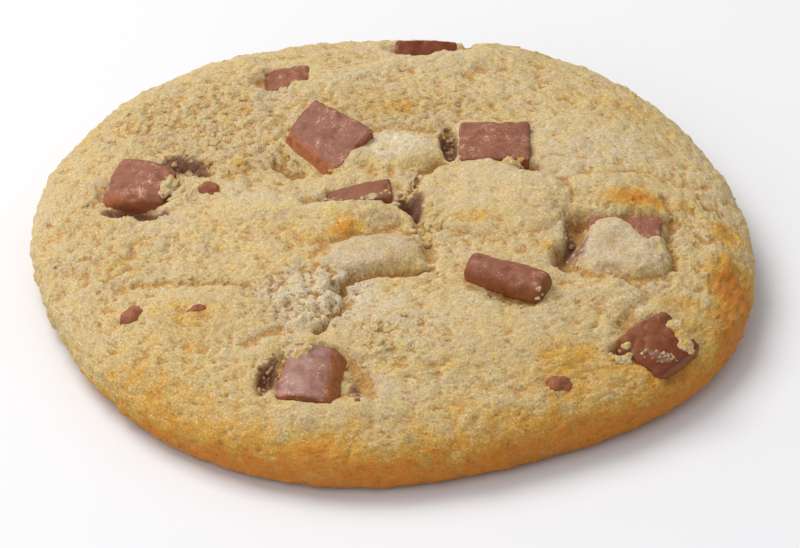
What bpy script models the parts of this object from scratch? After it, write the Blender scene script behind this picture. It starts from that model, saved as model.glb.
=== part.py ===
"""A baked cookie: a round of pale dough with milk chocolate chunks set in its top.

The dough is one solid. It starts as a sphere of even triangles that is laid over a cookie's profile:
a flat base, a tucked-in edge and a low crown. Named lumps, ridges, grooves and cracks then shape the
top. Each chunk is a solid of its own, in a pocket of the dough that is a hair larger than the chunk.
Four small chips are fused to the dough.

Lengths are millimetres and angles are degrees until a mesh is made, which is in metres. +Z is up,
+Y is the far side of the cookie, and it rests on z = 0 with the origin under the middle of its box.
"""

from math import cos, radians, sin

import bmesh
import bpy
import numpy as np
from mathutils import Euler, Matrix, Vector, noise

MM = 0.001

# Driving dimensions of the dough
RIM_RADIUS = 45.4
RIM_HEIGHT = 3.8
CROWN_HEIGHT = 11.4
CROWN_ROUNDNESS = 2.6
EDGE_TUCK = 3.2
# The rim is a little out of round: waves per turn, then their cosine and sine parts
RIM_WAVES = (
    (1, -0.02, 0.70),
    (2, -1.07, -0.22),
    (3, 0.32, 0.10),
    (4, -0.26, -0.77),
    (5, -0.21, -0.20),
    (6, 0.11, 0.09),
    (7, -0.03, 0.15),
)

# Gap between a chunk and its pocket
POCKET_GAP = 0.3

# Fineness of the dough's surface
SPHERE_LEVEL = 7
BASE_SHARE = 0.35
DOUGH_TRIANGLES = 8200
# What lies this near to the table lies flat on it, so that the cookie stands still
FLAT_BASE = 0.2

# Lobes, which are steep at their foot: middle, half-lengths, turn, height, share that the slope takes up
LOBES = {
    "right_crown": ((12.0, 0.9), (9.8, 8.5), 0, 1.0, 0.90),
    "middle_lump": ((0.5, 11.5), (6.8, 4.6), 8, 0.9, 0.70),
    "tongue": ((-2.6, -11.8), (6.7, 3.9), 12, 1.1, 0.70),
    "right_terrace": ((30.0, 3.2), (8.4, 4.2), -8, 0.8, 0.60),
    "lid": ((27.2, -9.9), (6.0, 6.2), -5, 1.4, 0.45),
}

# Soft swells and dips: the same, with the height below 0 in a dip
SWELLS = {
    "left_ridge": ((-12.5, -2.8), (14.5, 6.2), -10, 1.2, 0.90),
    "before_sliver": ((-3.6, -3.0), (6.8, 3.4), 4, 0.9, 0.80),
    "front_field": ((8.5, -26.5), (16.0, 10.5), -5, 0.8, 0.80),
    "before_lid": ((28.0, -18.0), (6.5, 5.0), 0, 0.7, 0.90),
    "torn_patch": ((-11.0, -20.0), (7.5, 5.5), 0, 0.35, 0.60),
    "left_field": ((-23.0, -22.6), (12.8, 6.8), -4, 0.6, 0.60),
    "right_field": ((25.0, 15.0), (12.0, 12.0), 20, 0.6, 0.80),
    "right_bump_rear": ((38.5, -0.8), (2.6, 3.0), 0, 0.7, 0.80),
    "right_bump_front": ((39.5, -9.0), (2.8, 4.5), 0, 0.7, 0.80),
    "rear_bump": ((13.2, 40.6), (3.2, 2.4), 0, 0.5, 0.80),
    "lid_gap": ((30.8, -5.4), (1.8, 2.2), 0, -1.6, 0.40),
    "round_left_chunk": ((-31.3, 5.5), (7.0, 7.5), 0, -1.2, 0.50),
    "before_left_chunk": ((-30.2, -0.9), (4.4, 2.4), -8, -2.2, 0.70),
    "behind_left_chunk": ((-25.0, 9.4), (3.8, 1.8), -25, -2.0, 0.60),
    "before_tall_chunk": ((-10.5, 8.6), (6.5, 2.6), -10, -1.3, 0.70),
    "beside_square_chunk": ((7.3, 13.8), (1.3, 4.6), 4, -2.6, 0.60),
    "under_square_chunk": ((17.3, 8.0), (2.2, 2.0), 0, -2.4, 0.70),
    "middle_hole": ((2.4, -1.6), (1.9, 2.4), 10, -3.0, 0.70),
    "round_front_chunk": ((-8.6, -34.2), (7.4, 5.6), -8, -1.6, 0.45),
    "before_front_chunk": ((-8.5, -40.6), (9.0, 2.6), 0, 0.6, 0.80),
    "left_of_front_chunk": ((-14.7, -34.6), (1.3, 3.4), -15, -1.6, 0.70),
    "right_of_front_chunk": ((-3.0, -36.0), (2.0, 3.8), 0, -1.2, 0.80),
    "round_rough_chunk": ((31.5, -26.5), (6.0, 5.2), -40, -1.0, 0.50),
    "left_of_rough_chunk": ((26.8, -28.0), (1.4, 1.7), 0, -1.4, 0.80),
    "before_bar_chunk": ((14.0, -20.3), (6.0, 2.8), -20, -1.2, 0.80),
    "round_far_left_chunk": ((-14.6, 31.0), (4.8, 3.6), 10, -1.4, 0.60),
    "round_rear_chunk": ((4.2, 39.6), (6.0, 3.2), 0, -1.5, 0.50),
}

# Long features: the points they run through, half-width, height (down if negative)
RUNS = {
    "rear_crest": (((-10, 28.0), (-5, 31.0), (2, 33.5), (9, 35.5), (16, 36.5)), 2.6, 0.9),
    "rear_swell": (((-31, 26), (-22, 34), (-10, 39.5), (4, 41), (18, 38), (29, 30)), 5.5, 0.45),
    "sliver_slot": (((-10, -0.3), (-5, 1.8), (0.8, 2.9)), 1.1, -1.2),
    "lid_left_crack": (((23.0, -2.6), (21.8, -8.5), (20.8, -13.0)), 0.9, -2.4),
    "lid_rear_crack": (((24.0, -2.0), (33.0, -2.1)), 0.7, -1.4),
    "lid_right_crack": (((33.9, -2.4), (33.8, -11.5)), 0.6, -1.1),
    "left_edge_crack": (((-31.0, -15.6), (-25.0, -16.3), (-18.0, -17.2), (-14.0, -19.0)), 0.5, -0.5),
    "torn_crack": (((-6.0, -18.0), (-5.2, -21.0), (-6.3, -24.0), (-9.0, -27.0)), 0.5, -1.2),
    "tongue_crack": (((-6.0, -18.3), (-4.5, -16.3), (-1.5, -15.9), (1.5, -15.5), (4.5, -14.2)), 0.6, -1.6),
    "tongue_valley": (((-8.0, -11.5), (-5.0, -7.9), (0.0, -6.3), (3.0, -6.9)), 1.2, -0.6),
    "crown_crack": (((2.2, -1.5), (3.9, -5.5), (4.6, -9.5), (5.0, -12.5)), 0.8, -1.1),
    "lump_crack": (((6.5, 9.0), (3.2, 5.5), (2.6, 1.5)), 0.6, -1.3),
    "rear_groove": (((-3.0, 16.5), (2.0, 17.0), (7.0, 17.5)), 1.0, -0.7),
    "left_valley": (((-22.0, 7.6), (-14.0, 7.3), (-8.0, 6.6)), 1.5, -0.6),
    "right_groove": (((28.0, -15.5), (31.0, -18.5), (27.0, -23.5)), 0.8, -0.5),
    "side_crack": (((-17.0, -28.5), (-13.0, -25.5), (-12.0, -22.5)), 0.7, -0.4),
    "terrace_crack": (((33.5, 2.5), (34.5, -2.5)), 0.6, -0.9),
    "rim_notch": (((9.5, 40.0), (10.2, 44.5)), 0.6, -1.0),
}

# The relief wanders a little, so that no edge of it is a plain ellipse
WANDER = 0.8
WANDER_LENGTH = 4.5
GENTLE_SWELL = 0.28
GENTLE_LENGTH = 7.0
CRAG_HEIGHT = 0.22
CRAG_LENGTH = 1.9

# Square-cut chunks: middle of the top face, length, width and depth, turns (yaw, lean, roll), edge radius,
# then how much narrower the +X side is and how much further it reaches at the foot
CUT_CHUNKS = {
    "chunk_left": ((-31.2, 5.1, 11.3), (8.4, 8.6, 6.0), (-17, 12, -6), 1.2, 2.2, 0.0),
    "chunk_far_left": ((-13.4, 31.4, 9.9), (6.2, 5.2, 4.0), (3, 3, -13), 0.9, 0.0, 0.0),
    "chunk_tall": ((-8.2, 12.9, 12.8), (9.5, 7.8, 6.5), (-41, 25, 8), 0.8, 0.0, 0.0),
    "chunk_sliver": ((-4.2, 1.1, 11.7), (8.4, 3.6, 4.5), (2, 12, -16), 0.7, 0.0, 0.0),
    "chunk_square": ((12.8, 13.3, 11.9), (9.0, 8.4, 6.0), (-2, 3, -1), 0.9, 0.0, 0.0),
    "chunk_rear": ((4.5, 39.4, 9.0), (8.2, 3.6, 3.6), (0, 24, 2), 0.8, 0.0, 0.0),
    "chunk_lidded": ((28.0, -6.9, 10.4), (9.2, 8.8, 5.0), (-4, 8, -2), 0.9, 0.0, 0.0),
    "chunk_front": ((-9.6, -34.8, 10.3), (7.0, 8.8, 5.0), (-11, 11, 2), 0.9, 0.0, 2.6),
}
CUT_TAPER = 0.94

# Chunks that have softened in the oven: the same sizes, then how far they are rounded and how lumpy they are
SOFT_CHUNKS = {
    "chunk_bar": ((13.9, -17.3, 13.3), (10.8, 4.4, 4.0), (-24, 0, 3), 0.40, 0.15),
    "chunk_rough": ((31.7, -26.9, 9.0), (7.4, 8.4, 4.6), (-45, 6, 21), 0.25, 0.45),
}
SOFT_CUTS = 5
SOFT_LUMP_LENGTH = 1.8

# Small chips fused to the dough: middle, half-lengths, turn, rise over the dough
CHIPS = {
    "chip_by_left_chunk": ((-22.3, 3.3), (1.45, 1.2), -10, 0.9),
    "chip_left_rim": ((-30.6, -21.4), (1.5, 1.9), -35, 0.6),
    "chip_left_field": ((-23.0, -22.3), (1.3, 0.8), 20, 0.5),
    "chip_front_right": ((19.4, -34.4), (1.6, 1.4), 5, 0.6),
}
CHIP_HALF_DEPTH = 1.2

DOUGH_COLOUR = (0.62, 0.44, 0.20)
CHOCOLATE_COLOUR = (0.27, 0.12, 0.075)


def soft_step(t):
    """0 below 0, 1 above 1, and a smooth S between them."""
    t = np.clip(t, 0.0, 1.0)
    return t * t * (3.0 - 2.0 * t)


def rim_radius(angle):
    """Reach of the rim in a direction, in radians."""
    radius = RIM_RADIUS
    for turns, cosine, sine in RIM_WAVES:
        radius = radius + cosine * np.cos(turns * angle) + sine * np.sin(turns * angle)
    return radius


def dough_profile():
    """Points from the crown's middle, over the edge, to the base's middle.

    Columns: share of the radius, inset from the rim, height, and the outward normal's two parts.
    """
    crown = np.linspace(0.0, np.pi / 2, 200)
    edge = np.linspace(0.0, np.pi / 2, 60)[1:]
    base = np.linspace(1.0, 0.0, 60)[1:]
    power = 2.0 / CROWN_ROUNDNESS
    rise = CROWN_HEIGHT - RIM_HEIGHT
    share = np.concatenate([np.sin(crown) ** power, np.ones(edge.size), base])
    inset = np.concatenate([0 * crown, EDGE_TUCK * (1 - np.cos(edge)), EDGE_TUCK + 0 * base])
    height = np.concatenate([
        RIM_HEIGHT + rise * np.maximum(np.cos(crown), 0) ** power,
        RIM_HEIGHT * (1 - np.sin(edge)),
        0 * base,
    ])
    radius = (RIM_RADIUS - inset) * share
    along_radius, along_height = np.gradient(radius), np.gradient(height)
    length = np.hypot(along_radius, along_height)
    return share, inset, height, -along_height / length, along_radius / length


def lump(x, y, middle, halves, turn, height, edge_share, steep_foot):
    """One lobe, swell or dip: an ellipse whose edge slopes over a share of its size."""
    across, along = x - middle[0], y - middle[1]
    c, s = cos(radians(turn)), sin(radians(turn))
    reach = np.hypot((across * c + along * s) / halves[0], (along * c - across * s) / halves[1])
    inward = np.clip((1.0 - reach) / edge_share, 0.0, 1.0)
    return height * (np.sqrt(1.0 - (1.0 - inward) ** 2) if steep_foot else soft_step(inward))


def run(x, y, points, half_width, height):
    """One long ridge or groove, by the distance from the line through its points."""
    near = np.full(np.shape(x), 1e9)
    for (x0, y0), (x1, y1) in zip(points, points[1:]):
        dx, dy = x1 - x0, y1 - y0
        along = np.clip(((x - x0) * dx + (y - y0) * dy) / (dx * dx + dy * dy), 0.0, 1.0)
        near = np.minimum(near, np.hypot(x - x0 - along * dx, y - y0 - along * dy))
    return height * np.exp(-((near / half_width) ** 2))


def noise_at(x, y, z, length, seed, octaves=1):
    """Smooth noise, about -1 to 1, of a given feature length; seed is an offset."""
    flat = zip(np.ravel(x) / length + seed, np.ravel(y) / length, np.ravel(z) / length)
    if octaves == 1:
        return np.array([noise.noise(point) for point in flat])
    return np.array([noise.fractal(point, 1.0, 2.0, octaves) for point in flat])


def relief(x, y):
    """Height of the top's relief over the smooth crown."""
    level = np.zeros_like(x)
    wander_x = x + WANDER * noise_at(x, y, 0 * x, WANDER_LENGTH, 11.3)
    wander_y = y + WANDER * noise_at(x, y, 0 * x, WANDER_LENGTH, 47.9)
    height = level + GENTLE_SWELL * noise_at(x, y, level, GENTLE_LENGTH, 3.1, octaves=2)
    for shape in LOBES.values():
        height = height + lump(wander_x, wander_y, *shape, steep_foot=True)
    for shape in SWELLS.values():
        height = height + lump(wander_x, wander_y, *shape, steep_foot=False)
    for shape in RUNS.values():
        height = height + run(wander_x, wander_y, *shape)
    return height


def dough_points(directions):
    """Lays unit directions over the dough: an even sphere becomes an even skin."""
    share, inset, height, normal_out, normal_up = dough_profile()
    radius = (RIM_RADIUS - inset) * share
    step = np.hypot(np.diff(radius), np.diff(height)) * (radius[1:] + radius[:-1]) / 2
    on_base = (height[1:] <= 0) & (height[:-1] <= 0)
    area = np.concatenate([[0.0], np.cumsum(np.where(on_base, BASE_SHARE, 1.0) * step)])
    wanted = (1.0 - directions[:, 2]) / 2.0 * area[-1]
    angle = np.arctan2(directions[:, 1], directions[:, 0])
    column = [np.interp(wanted, area, part) for part in (share, inset, height, normal_out, normal_up)]
    out = (rim_radius(angle) - column[1]) * column[0]
    x, y, z = out * np.cos(angle), out * np.sin(angle), column[2]
    on_top = soft_step((z - RIM_HEIGHT) / 2.5)
    above_base = soft_step(z / 1.5)
    shift = on_top * relief(x, y)
    shift += above_base * CRAG_HEIGHT * noise_at(x, y, z, CRAG_LENGTH, 5.7, octaves=3)
    return np.stack(
        [
            x + shift * column[3] * np.cos(angle),
            y + shift * column[3] * np.sin(angle),
            np.maximum(z + shift * column[4], 0.0),
        ],
        axis=1,
    )


def surface_height(x, y):
    """Height of the dough's top at one place, for what is set on it."""
    place_x, place_y = np.array([x]), np.array([y])
    share = np.hypot(place_x, place_y) / rim_radius(np.arctan2(place_y, place_x))
    rise = (1.0 - share**CROWN_ROUNDNESS) ** (1.0 / CROWN_ROUNDNESS)
    crown = RIM_HEIGHT + (CROWN_HEIGHT - RIM_HEIGHT) * rise
    return float((crown + relief(place_x, place_y))[0])


def new_material(name, colour, roughness):
    """A plain finish."""
    material = bpy.data.materials.new(name)
    material.use_nodes = True
    shader = material.node_tree.nodes["Principled BSDF"]
    shader.inputs["Base Color"].default_value = (*colour, 1.0)
    shader.inputs["Roughness"].default_value = roughness
    shader.inputs["Metallic"].default_value = 0.0
    return material


def new_object(name, mesh, collection, material=None):
    """An object for a mesh, in a collection."""
    thing = bpy.data.objects.new(name, mesh)
    collection.objects.link(thing)
    if material is not None:
        mesh.materials.append(material)
    return thing


def new_collection(name):
    """A collection of the scene."""
    collection = bpy.data.collections.new(name)
    bpy.context.scene.collection.children.link(collection)
    return collection


def apply_modifiers(thing):
    """Fixes what an object's modifiers make of its mesh."""
    bpy.context.view_layer.update()
    evaluated = thing.evaluated_get(bpy.context.evaluated_depsgraph_get())
    mesh = bpy.data.meshes.new_from_object(evaluated)
    thing.modifiers.clear()
    thing.data = mesh


def remove_objects(things):
    """Takes helpers out of the file."""
    for thing in list(things):
        bpy.data.objects.remove(thing)


def cut_chunk_mesh(name, size, narrowing, spread, grow):
    """A square-cut chunk, a little narrower at its foot, with its top face at z = 0."""
    length, width, depth = size
    bm = bmesh.new()
    bmesh.ops.create_cube(bm, size=1.0)
    for vertex in bm.verts:
        at_foot, at_right = vertex.co.z < 0, vertex.co.x > 0
        taper = CUT_TAPER if at_foot else 1.0
        side_width = width - narrowing if at_right else width
        x = vertex.co.x * (length * taper + 2 * grow) + (spread if at_foot and at_right else 0.0)
        y = vertex.co.y * (side_width * taper + 2 * grow)
        z = vertex.co.z * (depth + 2 * grow) - depth / 2
        vertex.co = Vector((x, y, z)) * MM
    mesh = bpy.data.meshes.new(name)
    bm.to_mesh(mesh)
    bm.free()
    return mesh


def soft_chunk_mesh(name, size, rounding, lumpiness, grow):
    """A softened chunk: a fine cube drawn towards a ball and made uneven, top at about z = 0."""
    length, width, depth = size
    bm = bmesh.new()
    bmesh.ops.create_cube(bm, size=1.0)
    bmesh.ops.subdivide_edges(bm, edges=bm.edges[:], cuts=SOFT_CUTS, use_grid_fill=True)
    for vertex in bm.verts:
        ball = vertex.co.normalized() * 0.5
        place = vertex.co.lerp(ball, rounding)
        place = Vector((place.x * length, place.y * width, place.z * depth - depth / 2))
        swell = lumpiness * noise.noise(place / SOFT_LUMP_LENGTH + Vector((length, 0, 0)))
        vertex.co = (place + ball.normalized() * (swell + grow)) * MM
    mesh = bpy.data.meshes.new(name)
    bm.to_mesh(mesh)
    bm.free()
    return mesh


def put(thing, place, turns):
    """Sets an object at its place, in millimetres, with its yaw, lean and roll."""
    yaw, lean, roll = (radians(angle) for angle in turns)
    turn = Euler((0, 0, yaw)).to_matrix() @ Euler((lean, 0, 0)).to_matrix() @ Euler((0, roll, 0)).to_matrix()
    thing.matrix_world = Matrix.Translation(Vector(place) * MM) @ turn.to_4x4()


def add_edge_radius(thing, radius):
    """Rounds a cut chunk's edges."""
    bevel = thing.modifiers.new("edge", "BEVEL")
    bevel.width = radius * MM
    bevel.segments = 3
    bevel.limit_method = "NONE"


def make_chunks(collection, material, grow=0.0):
    """Every chunk, or with grow its pocket's cutter."""
    for name, (place, size, turns, radius, narrowing, spread) in CUT_CHUNKS.items():
        mesh = cut_chunk_mesh(name, size, narrowing, spread, grow)
        thing = new_object(name, mesh, collection, material)
        put(thing, place, turns)
        add_edge_radius(thing, radius)
    for name, (place, size, turns, rounding, lumpiness) in SOFT_CHUNKS.items():
        mesh = soft_chunk_mesh(name, size, rounding, lumpiness, grow)
        thing = new_object(name, mesh, collection, material)
        put(thing, place, turns)
        thing.data.shade_smooth()


def make_chips(collection):
    """The small chips: flattened balls, each a little proud of the dough."""
    for name, (middle, halves, turn, rise) in CHIPS.items():
        bm = bmesh.new()
        bmesh.ops.create_icosphere(bm, subdivisions=2, radius=1.0)
        bmesh.ops.scale(bm, vec=Vector((*halves, CHIP_HALF_DEPTH)) * MM, verts=bm.verts)
        mesh = bpy.data.meshes.new(name)
        bm.to_mesh(mesh)
        bm.free()
        thing = new_object(name, mesh, collection)
        height = surface_height(*middle) + rise - CHIP_HALF_DEPTH
        put(thing, (*middle, height), (turn, 0, 0))


def flatten_base(dough):
    """Lays the edge of the base, which thinning leaves a little uneven, on the table."""
    for vertex in dough.data.vertices:
        if vertex.co.z < FLAT_BASE * MM:
            vertex.co.z = 0.0


def make_dough(collection, material):
    """The dough's skin over an even sphere, thinned to the triangles that its relief needs."""
    bm = bmesh.new()
    bmesh.ops.create_icosphere(bm, subdivisions=SPHERE_LEVEL, radius=1.0)
    mesh = bpy.data.meshes.new("dough")
    bm.to_mesh(mesh)
    bm.free()
    directions = np.empty(len(mesh.vertices) * 3)
    mesh.vertices.foreach_get("co", directions)
    points = dough_points(directions.reshape(-1, 3)) * MM
    mesh.vertices.foreach_set("co", points.ravel())
    mesh.update()
    dough = new_object("dough", mesh, collection, material)
    thin = dough.modifiers.new("thin", "DECIMATE")
    thin.ratio = DOUGH_TRIANGLES / len(mesh.polygons)
    apply_modifiers(dough)
    flatten_base(dough)
    return dough


def fuse_and_cut(dough, chips, pockets):
    """Fuses the chips to the dough and cuts the chunks' pockets out of it."""
    for name, helpers, operation in (("chips", chips, "UNION"), ("pockets", pockets, "DIFFERENCE")):
        step = dough.modifiers.new(name, "BOOLEAN")
        step.operation = operation
        step.operand_type = "COLLECTION"
        step.collection = helpers
        step.solver = "EXACT"
        apply_modifiers(dough)
        remove_objects(helpers.objects)
        bpy.data.collections.remove(helpers)


def main():
    remove_objects(bpy.data.objects)
    dough_finish = new_material("baked_dough", DOUGH_COLOUR, 0.85)
    chocolate_finish = new_material("milk_chocolate", CHOCOLATE_COLOUR, 0.45)
    chips = new_collection("chips")
    pockets = new_collection("pockets")
    make_chips(chips)
    make_chunks(pockets, None, grow=POCKET_GAP)
    cookie = new_collection("cookie")
    dough = make_dough(cookie, dough_finish)
    fuse_and_cut(dough, chips, pockets)
    make_chunks(cookie, chocolate_finish)


if __name__ == "__main__":
    main()
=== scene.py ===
"""Looks of a baked chocolate chunk cookie: pale crumbly dough, milk chocolate chunks and loose crumbs.

The dough is an even sphere of triangles laid over the cookie's profile, shaped by named lobes, swells
and cracks, then covered with a crumb of small domes and pits. Most chunks are square-cut blocks with worn
edges, and two have softened in the oven. Crumbs are small stones of dough, scattered on the skin as grains
and heaped and merged where the cookie has loose bits. Colours come from fields that are worked out point by
point: where the dough is browned, where chocolate stains it or painted shade darkens its crevices, and how
deep a point lies under its neighbours, which paints shade into its hollows. A lilac sheen on the chunks'
upper faces, highlights on the crumb's tops and on the chunks' worn edges, and light on their sides are
painted into the colours too.

Lengths are in millimetres until they go into a mesh, a light or the camera. +Z is up and +Y is the far side.
"""

from itertools import product
from math import cos, pi, radians, sin

import bmesh
import bpy
import numpy as np
from bpy.props import FloatProperty, FloatVectorProperty, IntProperty, PointerProperty
from bpy.types import Operator, Panel, PropertyGroup
from mathutils import Euler, Matrix, Vector, noise
from mathutils.kdtree import KDTree


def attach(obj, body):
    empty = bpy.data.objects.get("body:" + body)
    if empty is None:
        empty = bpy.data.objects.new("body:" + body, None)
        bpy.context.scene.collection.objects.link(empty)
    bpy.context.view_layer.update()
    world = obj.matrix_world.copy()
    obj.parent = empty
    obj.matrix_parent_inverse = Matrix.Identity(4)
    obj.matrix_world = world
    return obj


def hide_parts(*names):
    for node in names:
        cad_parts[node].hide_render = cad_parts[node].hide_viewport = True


bl_info = {
    "name": "Chocolate Chunk Cookie",
    "version": (1, 0, 0),
    "blender": (4, 5, 0),
    "location": "3D View > Sidebar > Cookie",
    "description": "Adds a baked cookie with milk chocolate chunks, its crumbs and a small studio",
    "category": "Add Mesh",
}

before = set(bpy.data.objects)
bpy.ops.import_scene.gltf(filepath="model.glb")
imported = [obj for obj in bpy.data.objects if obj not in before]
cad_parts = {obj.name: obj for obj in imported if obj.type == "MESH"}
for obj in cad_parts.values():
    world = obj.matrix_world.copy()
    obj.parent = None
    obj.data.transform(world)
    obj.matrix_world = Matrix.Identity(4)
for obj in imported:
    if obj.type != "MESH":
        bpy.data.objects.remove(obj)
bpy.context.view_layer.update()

MM = 0.001

# Driving dimensions of the dough
RIM_RADIUS = 45.4
RIM_HEIGHT = 3.8
CROWN_HEIGHT = 11.4
CROWN_ROUNDNESS = 2.6
EDGE_TUCK = 3.2
# The rim is a little out of round: waves per turn, then their cosine and sine parts
RIM_WAVES = (
    (1, -0.02, 0.7),
    (2, -1.07, -0.22),
    (3, 0.32, 0.1),
    (4, -0.26, -0.77),
    (5, -0.21, -0.2),
    (6, 0.11, 0.09),
    (7, -0.03, 0.15),
)

# Fineness of the dough's skin: cuts of each edge of the first ball, and the base's share of triangles
SKIN_CUTS = 96
BASE_SHARE = 0.03

# Lobes, which are steep at their foot: middle, half-lengths, turn, height, share that the slope takes up
LOBES = {
    "right_crown": ((12, 0.9), (9.8, 8.5), 0, 1, 0.9),
    "middle_lump": ((0.5, 11.5), (6.8, 4.6), 8, 0.9, 0.7),
    "tongue": ((-2.6, -11.8), (6.7, 3.9), 12, 1.1, 0.7),
    "right_terrace": ((30, 3.2), (8.4, 4.2), -8, 0.8, 0.6),
    "lid": ((27.2, -9.9), (6, 6.2), -5, 1.4, 0.45),
}

# Soft swells and dips: the same, with the height below 0 in a dip
SWELLS = {
    "left_ridge": ((-12.5, -2.8), (14.5, 6.2), -10, 1.2, 0.9),
    "before_sliver": ((-3.6, -3), (6.8, 3.4), 4, 0.9, 0.8),
    "front_field": ((8.5, -26.5), (16, 10.5), -5, 0.8, 0.8),
    "before_lid": ((28, -18), (6.5, 5), 0, 0.7, 0.9),
    "torn_patch": ((-11, -20), (7.5, 5.5), 0, 0.35, 0.6),
    "left_field": ((-23, -22.6), (12.8, 6.8), -4, 0.6, 0.6),
    "right_field": ((25, 15), (12, 12), 20, 0.6, 0.8),
    "right_bump_rear": ((38.5, -0.8), (2.6, 3), 0, 0.7, 0.8),
    "right_bump_front": ((39.5, -9), (2.8, 4.5), 0, 0.7, 0.8),
    "rear_bump": ((13.2, 40.6), (3.2, 2.4), 0, 0.5, 0.8),
    "lid_gap": ((30.8, -5.4), (1.8, 2.2), 0, -1.6, 0.4),
    "round_left_chunk": ((-31.3, 5.5), (7, 7.5), 0, -1.2, 0.5),
    "before_left_chunk": ((-31, 0), (5, 2.2), -16, -1.7, 0.5),
    "behind_left_chunk": ((-25, 9.4), (3.8, 1.8), -25, -2, 0.6),
    "before_tall_chunk": ((-10.5, 8.6), (6.5, 2.6), -10, -1.3, 0.7),
    "foot_of_tall_chunk": ((-12.5, 9.4), (4.4, 2.1), -38, -1, 0.6),
    "beside_square_chunk": ((7.3, 13.8), (1.3, 4.6), 4, -2.6, 0.6),
    "under_square_chunk": ((17.3, 8), (2.2, 2), 0, -2.4, 0.7),
    "middle_hole": ((2.4, -1.6), (1.9, 2.4), 10, -3, 0.7),
    "round_front_chunk": ((-8.6, -34.2), (7.4, 5.6), -8, -1.6, 0.45),
    "before_front_chunk": ((-8.5, -40.6), (9, 2.6), 0, 0.6, 0.8),
    "left_of_front_chunk": ((-14.7, -34.6), (1.3, 3.4), -15, -1.6, 0.7),
    "right_of_front_chunk": ((-3, -36), (2, 3.8), 0, -1.2, 0.8),
    "round_rough_chunk": ((31.5, -26.5), (6, 5.2), -40, -1, 0.5),
    "left_of_rough_chunk": ((26.8, -28), (1.4, 1.7), 0, -1.4, 0.8),
    "before_bar_chunk": ((14, -20.3), (6, 2.8), -20, -1.2, 0.8),
    "round_far_left_chunk": ((-14.6, 31), (4.8, 3.6), 10, -1.4, 0.6),
    "round_rear_chunk": ((4.2, 39.6), (6, 3.2), 0, -1.5, 0.5),
}

# Long features: the points they run through, half-width, height (down if negative)
RUNS = {
    "rear_crest": (((-10, 28), (-5, 31), (2, 33.5), (9, 35.5), (16, 36.5)), 2.6, 0.9),
    "rear_swell": (((-31, 26), (-22, 34), (-10, 39.5), (4, 41), (18, 38), (29, 30)), 5.5, 0.45),
    "sliver_slot": (((-10, -0.3), (-5, 1.8), (0.8, 2.9)), 1.1, -1.2),
    "lid_left_crack": (((23, -2.6), (21.8, -8.5), (20.8, -13)), 1.15, -3),
    "lid_rear_crack": (((24, -2), (33, -2.1)), 0.7, -1.4),
    "lid_right_crack": (((33.9, -2.4), (33.8, -11.5)), 0.6, -1.1),
    "left_edge_crack": (((-31, -15.6), (-25, -16.3), (-18, -17.2), (-14, -19)), 0.5, -0.5),
    "torn_crack": (((-6, -18), (-5.2, -21), (-6.3, -24), (-9, -27)), 0.5, -1.2),
    "tongue_crack": (((-6, -18.3), (-4.5, -16.3), (-1.5, -15.9), (1.5, -15.5), (4.5, -14.2)), 0.6, -1.6),
    "tongue_valley": (((-8, -11.5), (-5, -7.9), (0, -6.3), (3, -6.9)), 1.2, -0.6),
    "crown_crack": (((2.2, -1.5), (3.9, -5.5), (4.6, -9.5), (5, -12.5)), 0.8, -1.1),
    "lump_crack": (((6.5, 9), (3.2, 5.5), (2.6, 1.5)), 0.6, -1.3),
    "rear_groove": (((-3, 16.5), (2, 17), (7, 17.5)), 1, -0.7),
    "left_valley": (((-22, 7.6), (-14, 7.3), (-8, 6.6)), 1.5, -0.6),
    "right_groove": (((28, -15.5), (31, -18.5), (27, -23.5)), 0.8, -0.5),
    "side_crack": (((-17, -28.5), (-13, -25.5), (-12, -22.5)), 0.7, -0.4),
    "terrace_crack": (((33.5, 2.5), (34.5, -2.5)), 0.6, -0.9),
    "rim_notch": (((9.5, 40), (10.2, 44.5)), 0.6, -1),
}

# The relief wanders a little, so that no edge of it is a plain ellipse
WANDER = 0.8
WANDER_LENGTH = 4.5
GENTLE_SWELL = 0.28
GENTLE_LENGTH = 7
CRAG_HEIGHT = 0.22
CRAG_LENGTH = 1.9

# Where the crumb is coarse (above 0) or fine (below 0): middle, half-lengths, turn, amount, slope share
COARSE = {
    "rear_left": ((-22, 18), (20, 17), -35, 0.55, 0.6),
    "left_side": ((-36, -8), (10, 20), 10, 0.35, 0.8),
    "torn_middle": ((-10, -20), (9, 8), 0, 0.85, 0.5),
    "rear_band": ((2, 22), (16, 7), 8, 0.5, 0.7),
    "before_left_chunk": ((-26, -9), (10, 5), 0, 0.25, 0.8),
    "right_of_front_chunk": ((2, -30), (8, 8), 0, 0.3, 0.8),
    "beside_crown": ((4.5, -6.5), (4, 6), 0, 0.5, 0.8),
    "left_front": ((-26, -30), (14, 10), -35, 0.25, 0.8),
    "right_side": ((37, -4), (6, 16), 0, 0.25, 0.8),
    "crown_top": ((12.5, 0.5), (9, 8), 0, -0.45, 0.7),
    "tongue_top": ((-2.6, -11.8), (6.5, 3.8), 12, -0.75, 0.6),
    "middle_top": ((0, 12), (6, 4), 8, -0.2, 0.8),
    "left_ridge_top": ((-13, -3), (12, 5), -10, -0.25, 0.8),
    "lid_top": ((27, -9.9), (5.5, 5.5), -5, -0.45, 0.6),
    "right_field_top": ((25, 14), (12, 13), 20, -0.15, 0.8),
    "front_field_top": ((12, -27), (15, 8), 0, -0.2, 0.8),
}

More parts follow.
